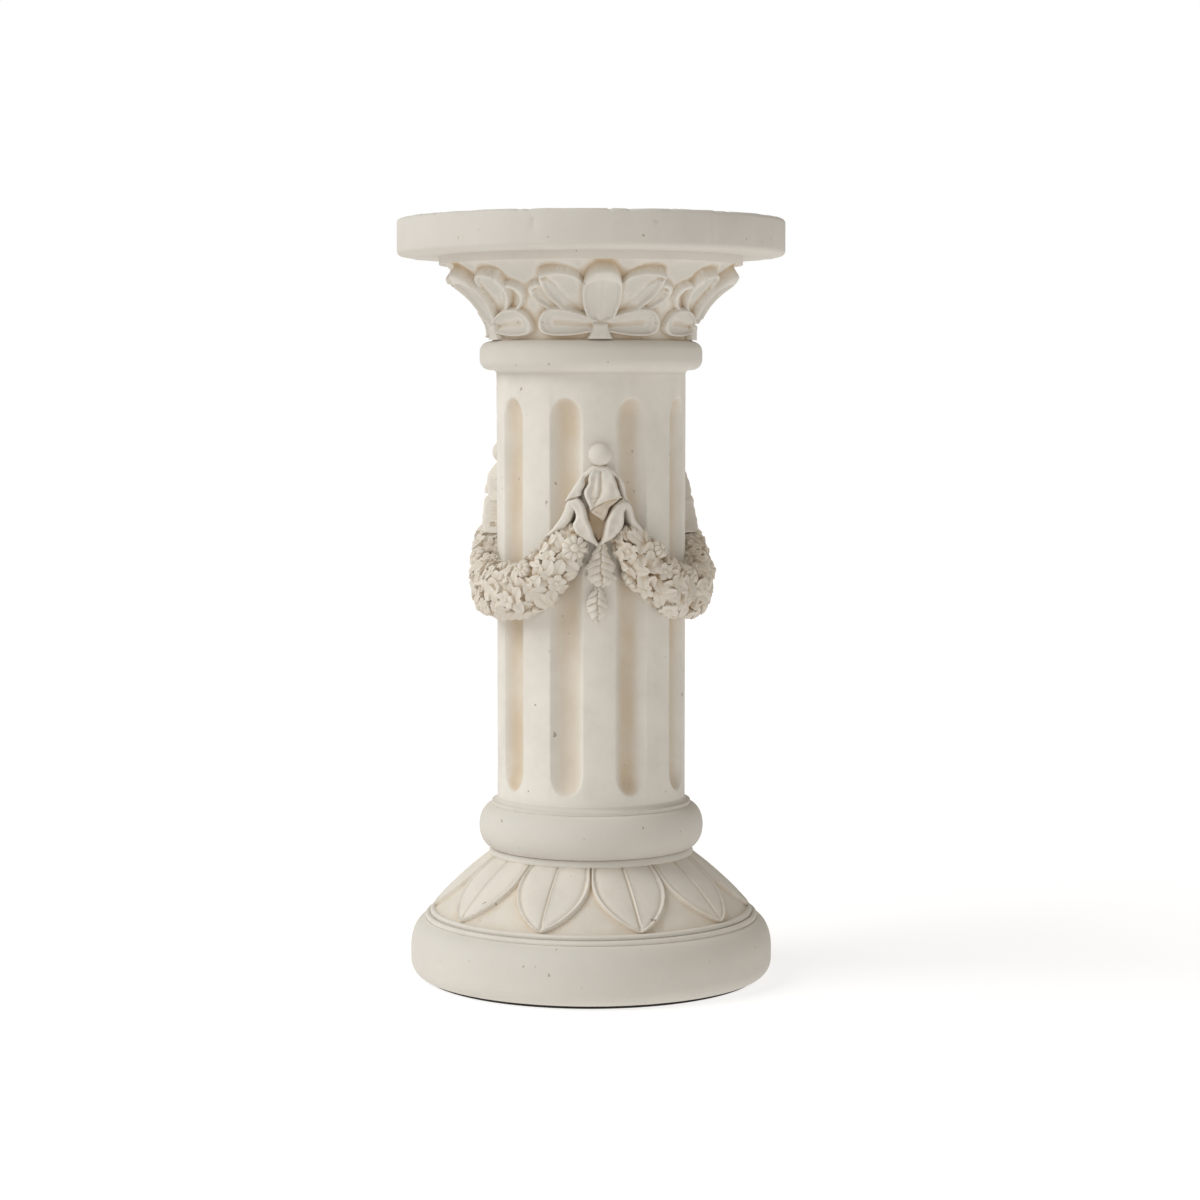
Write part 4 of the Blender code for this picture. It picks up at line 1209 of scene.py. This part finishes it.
def base_pad():
    """A thin near-black disc under the base, with a slightly rounded edge, whose edge makes the dark line
    under the base's rim.
    """
    edge = PAD_EDGE_ROUND
    profile = np.concatenate([
        line((PAD_POLE_RADIUS, 0), (PAD_RADIUS - edge, 0), 3),
        arc((PAD_RADIUS - edge, edge), (edge, edge), -80, 0, 4),
        arc((PAD_RADIUS - edge, PAD_THICKNESS - edge), (edge, edge), 0, 80, 4),
        line((PAD_RADIUS - 2 * edge, PAD_THICKNESS), (PAD_POLE_RADIUS, PAD_THICKNESS), 3),
    ])
    angles = np.arange(PAD_COLUMNS) * 2 * math.pi / PAD_COLUMNS
    points = turned_point(angles[None, :], profile[:, 0][:, None], profile[:, 1][:, None])
    count = len(profile) * PAD_COLUMNS
    below = fan(0, PAD_COLUMNS, count, True)
    above = fan(count - PAD_COLUMNS, PAD_COLUMNS, count + 1, False)
    poles = np.array([[0, 0, 0], [0, 0, PAD_THICKNESS]])
    flat = np.concatenate([points.reshape(-1, 3), poles])
    faces = grid_faces(len(profile), PAD_COLUMNS, True)
    return make_mesh("dark_pad", flat, faces, np.concatenate([below, above]), np.zeros(len(flat)))


def dress(piece, node_name, look):
    piece.data.materials.clear()
    piece.data.materials.append(look)
    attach(piece, "root")
    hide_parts(node_name)


# Surroundings
CAMERA_TURN = math.radians(-5.2)
CAMERA_PLACE = (0.009, -2.805, 0.590)
CAMERA_TILT = math.radians(90 - 4.28)
CAMERA_LENS = 83.8
CAMERA_SENSOR = 36
KEY_STRENGTH = 1.86
KEY_SOFTNESS = math.radians(42)
KEY_TURN = math.radians(-77)
KEY_TILT = math.radians(46)
KEY_COLOUR = (0.955, 0.982, 1.0)
SKY_STRENGTH = 0.415
SKY_COLOUR = (1.0, 0.960, 0.895, 1)
FLOOR_GLOW = 0.70
FLOOR_HALF = 30.0
WHITE = (1, 1, 1, 1)


def floor():
    """The pale floor, lifted a little towards white by a faint glow of its own."""
    mesh = bpy.data.meshes.new("floor")
    half = FLOOR_HALF
    corners = [(-half, -half, 0), (half, -half, 0), (half, half, 0), (-half, half, 0)]
    mesh.from_pydata(corners, [], [(0, 1, 2, 3)])
    thing = linked("floor", mesh)
    look, _, shader = plain_material("pale floor", FLOOR_COLOUR, FLOOR_ROUGHNESS)
    shader.inputs["Specular IOR Level"].default_value = 0.0
    filled(shader, ("Emission Color", "Emission Strength"), (WHITE, FLOOR_GLOW))
    thing.data.materials.append(look)


def lights():
    """A broad high light from the left, under an even sky that is white behind the column."""
    data = bpy.data.lights.new("key", "SUN")
    data.energy = KEY_STRENGTH
    data.color = KEY_COLOUR
    data.angle = KEY_SOFTNESS
    thing = linked("key", data)
    towards = Vector(tuple(turned_point(KEY_TURN, math.sin(KEY_TILT), math.cos(KEY_TILT))))
    thing.rotation_mode = "QUATERNION"
    thing.rotation_quaternion = (-towards).to_track_quat("-Z", "Y")
    world = bpy.data.worlds.new("studio")
    bpy.context.scene.world = world
    world.use_nodes = True
    tree = world.node_tree
    lit = tree.nodes["Background"]
    filled(lit, ("Color", "Strength"), (SKY_COLOUR, SKY_STRENGTH))
    seen = node(tree, "ShaderNodeBackground", (0, -200))
    filled(seen, ("Color", "Strength"), (WHITE, 1.0))
    ray = node(tree, "ShaderNodeLightPath", (-200, 300))
    mix = node(tree, "ShaderNodeMixShader", (200, 200))
    tree.links.new(ray.outputs["Is Camera Ray"], mix.inputs[0])
    tree.links.new(lit.outputs[0], mix.inputs[1])
    tree.links.new(seen.outputs[0], mix.inputs[2])
    tree.links.new(mix.outputs[0], tree.nodes["World Output"].inputs["Surface"])
    bpy.context.scene.view_settings.view_transform = "Standard"


def camera():
    data = bpy.data.cameras.new("camera")
    data.lens = CAMERA_LENS
    data.sensor_width = CAMERA_SENSOR
    thing = linked("camera", data)
    turn = Matrix.Rotation(CAMERA_TURN, 4, "Z")
    thing.matrix_world = turn @ Matrix.Translation(CAMERA_PLACE) @ Matrix.Rotation(CAMERA_TILT, 4, "X")
    bpy.context.scene.camera = thing


def main():
    column = slimmed(pedestal_column(), COLUMN_TRIANGLES)
    dress(column, "pedestal_column", stone_material())
    dress(base_pad(), "base_pad", pad_material())
    floor()
    lights()
    camera()


main()
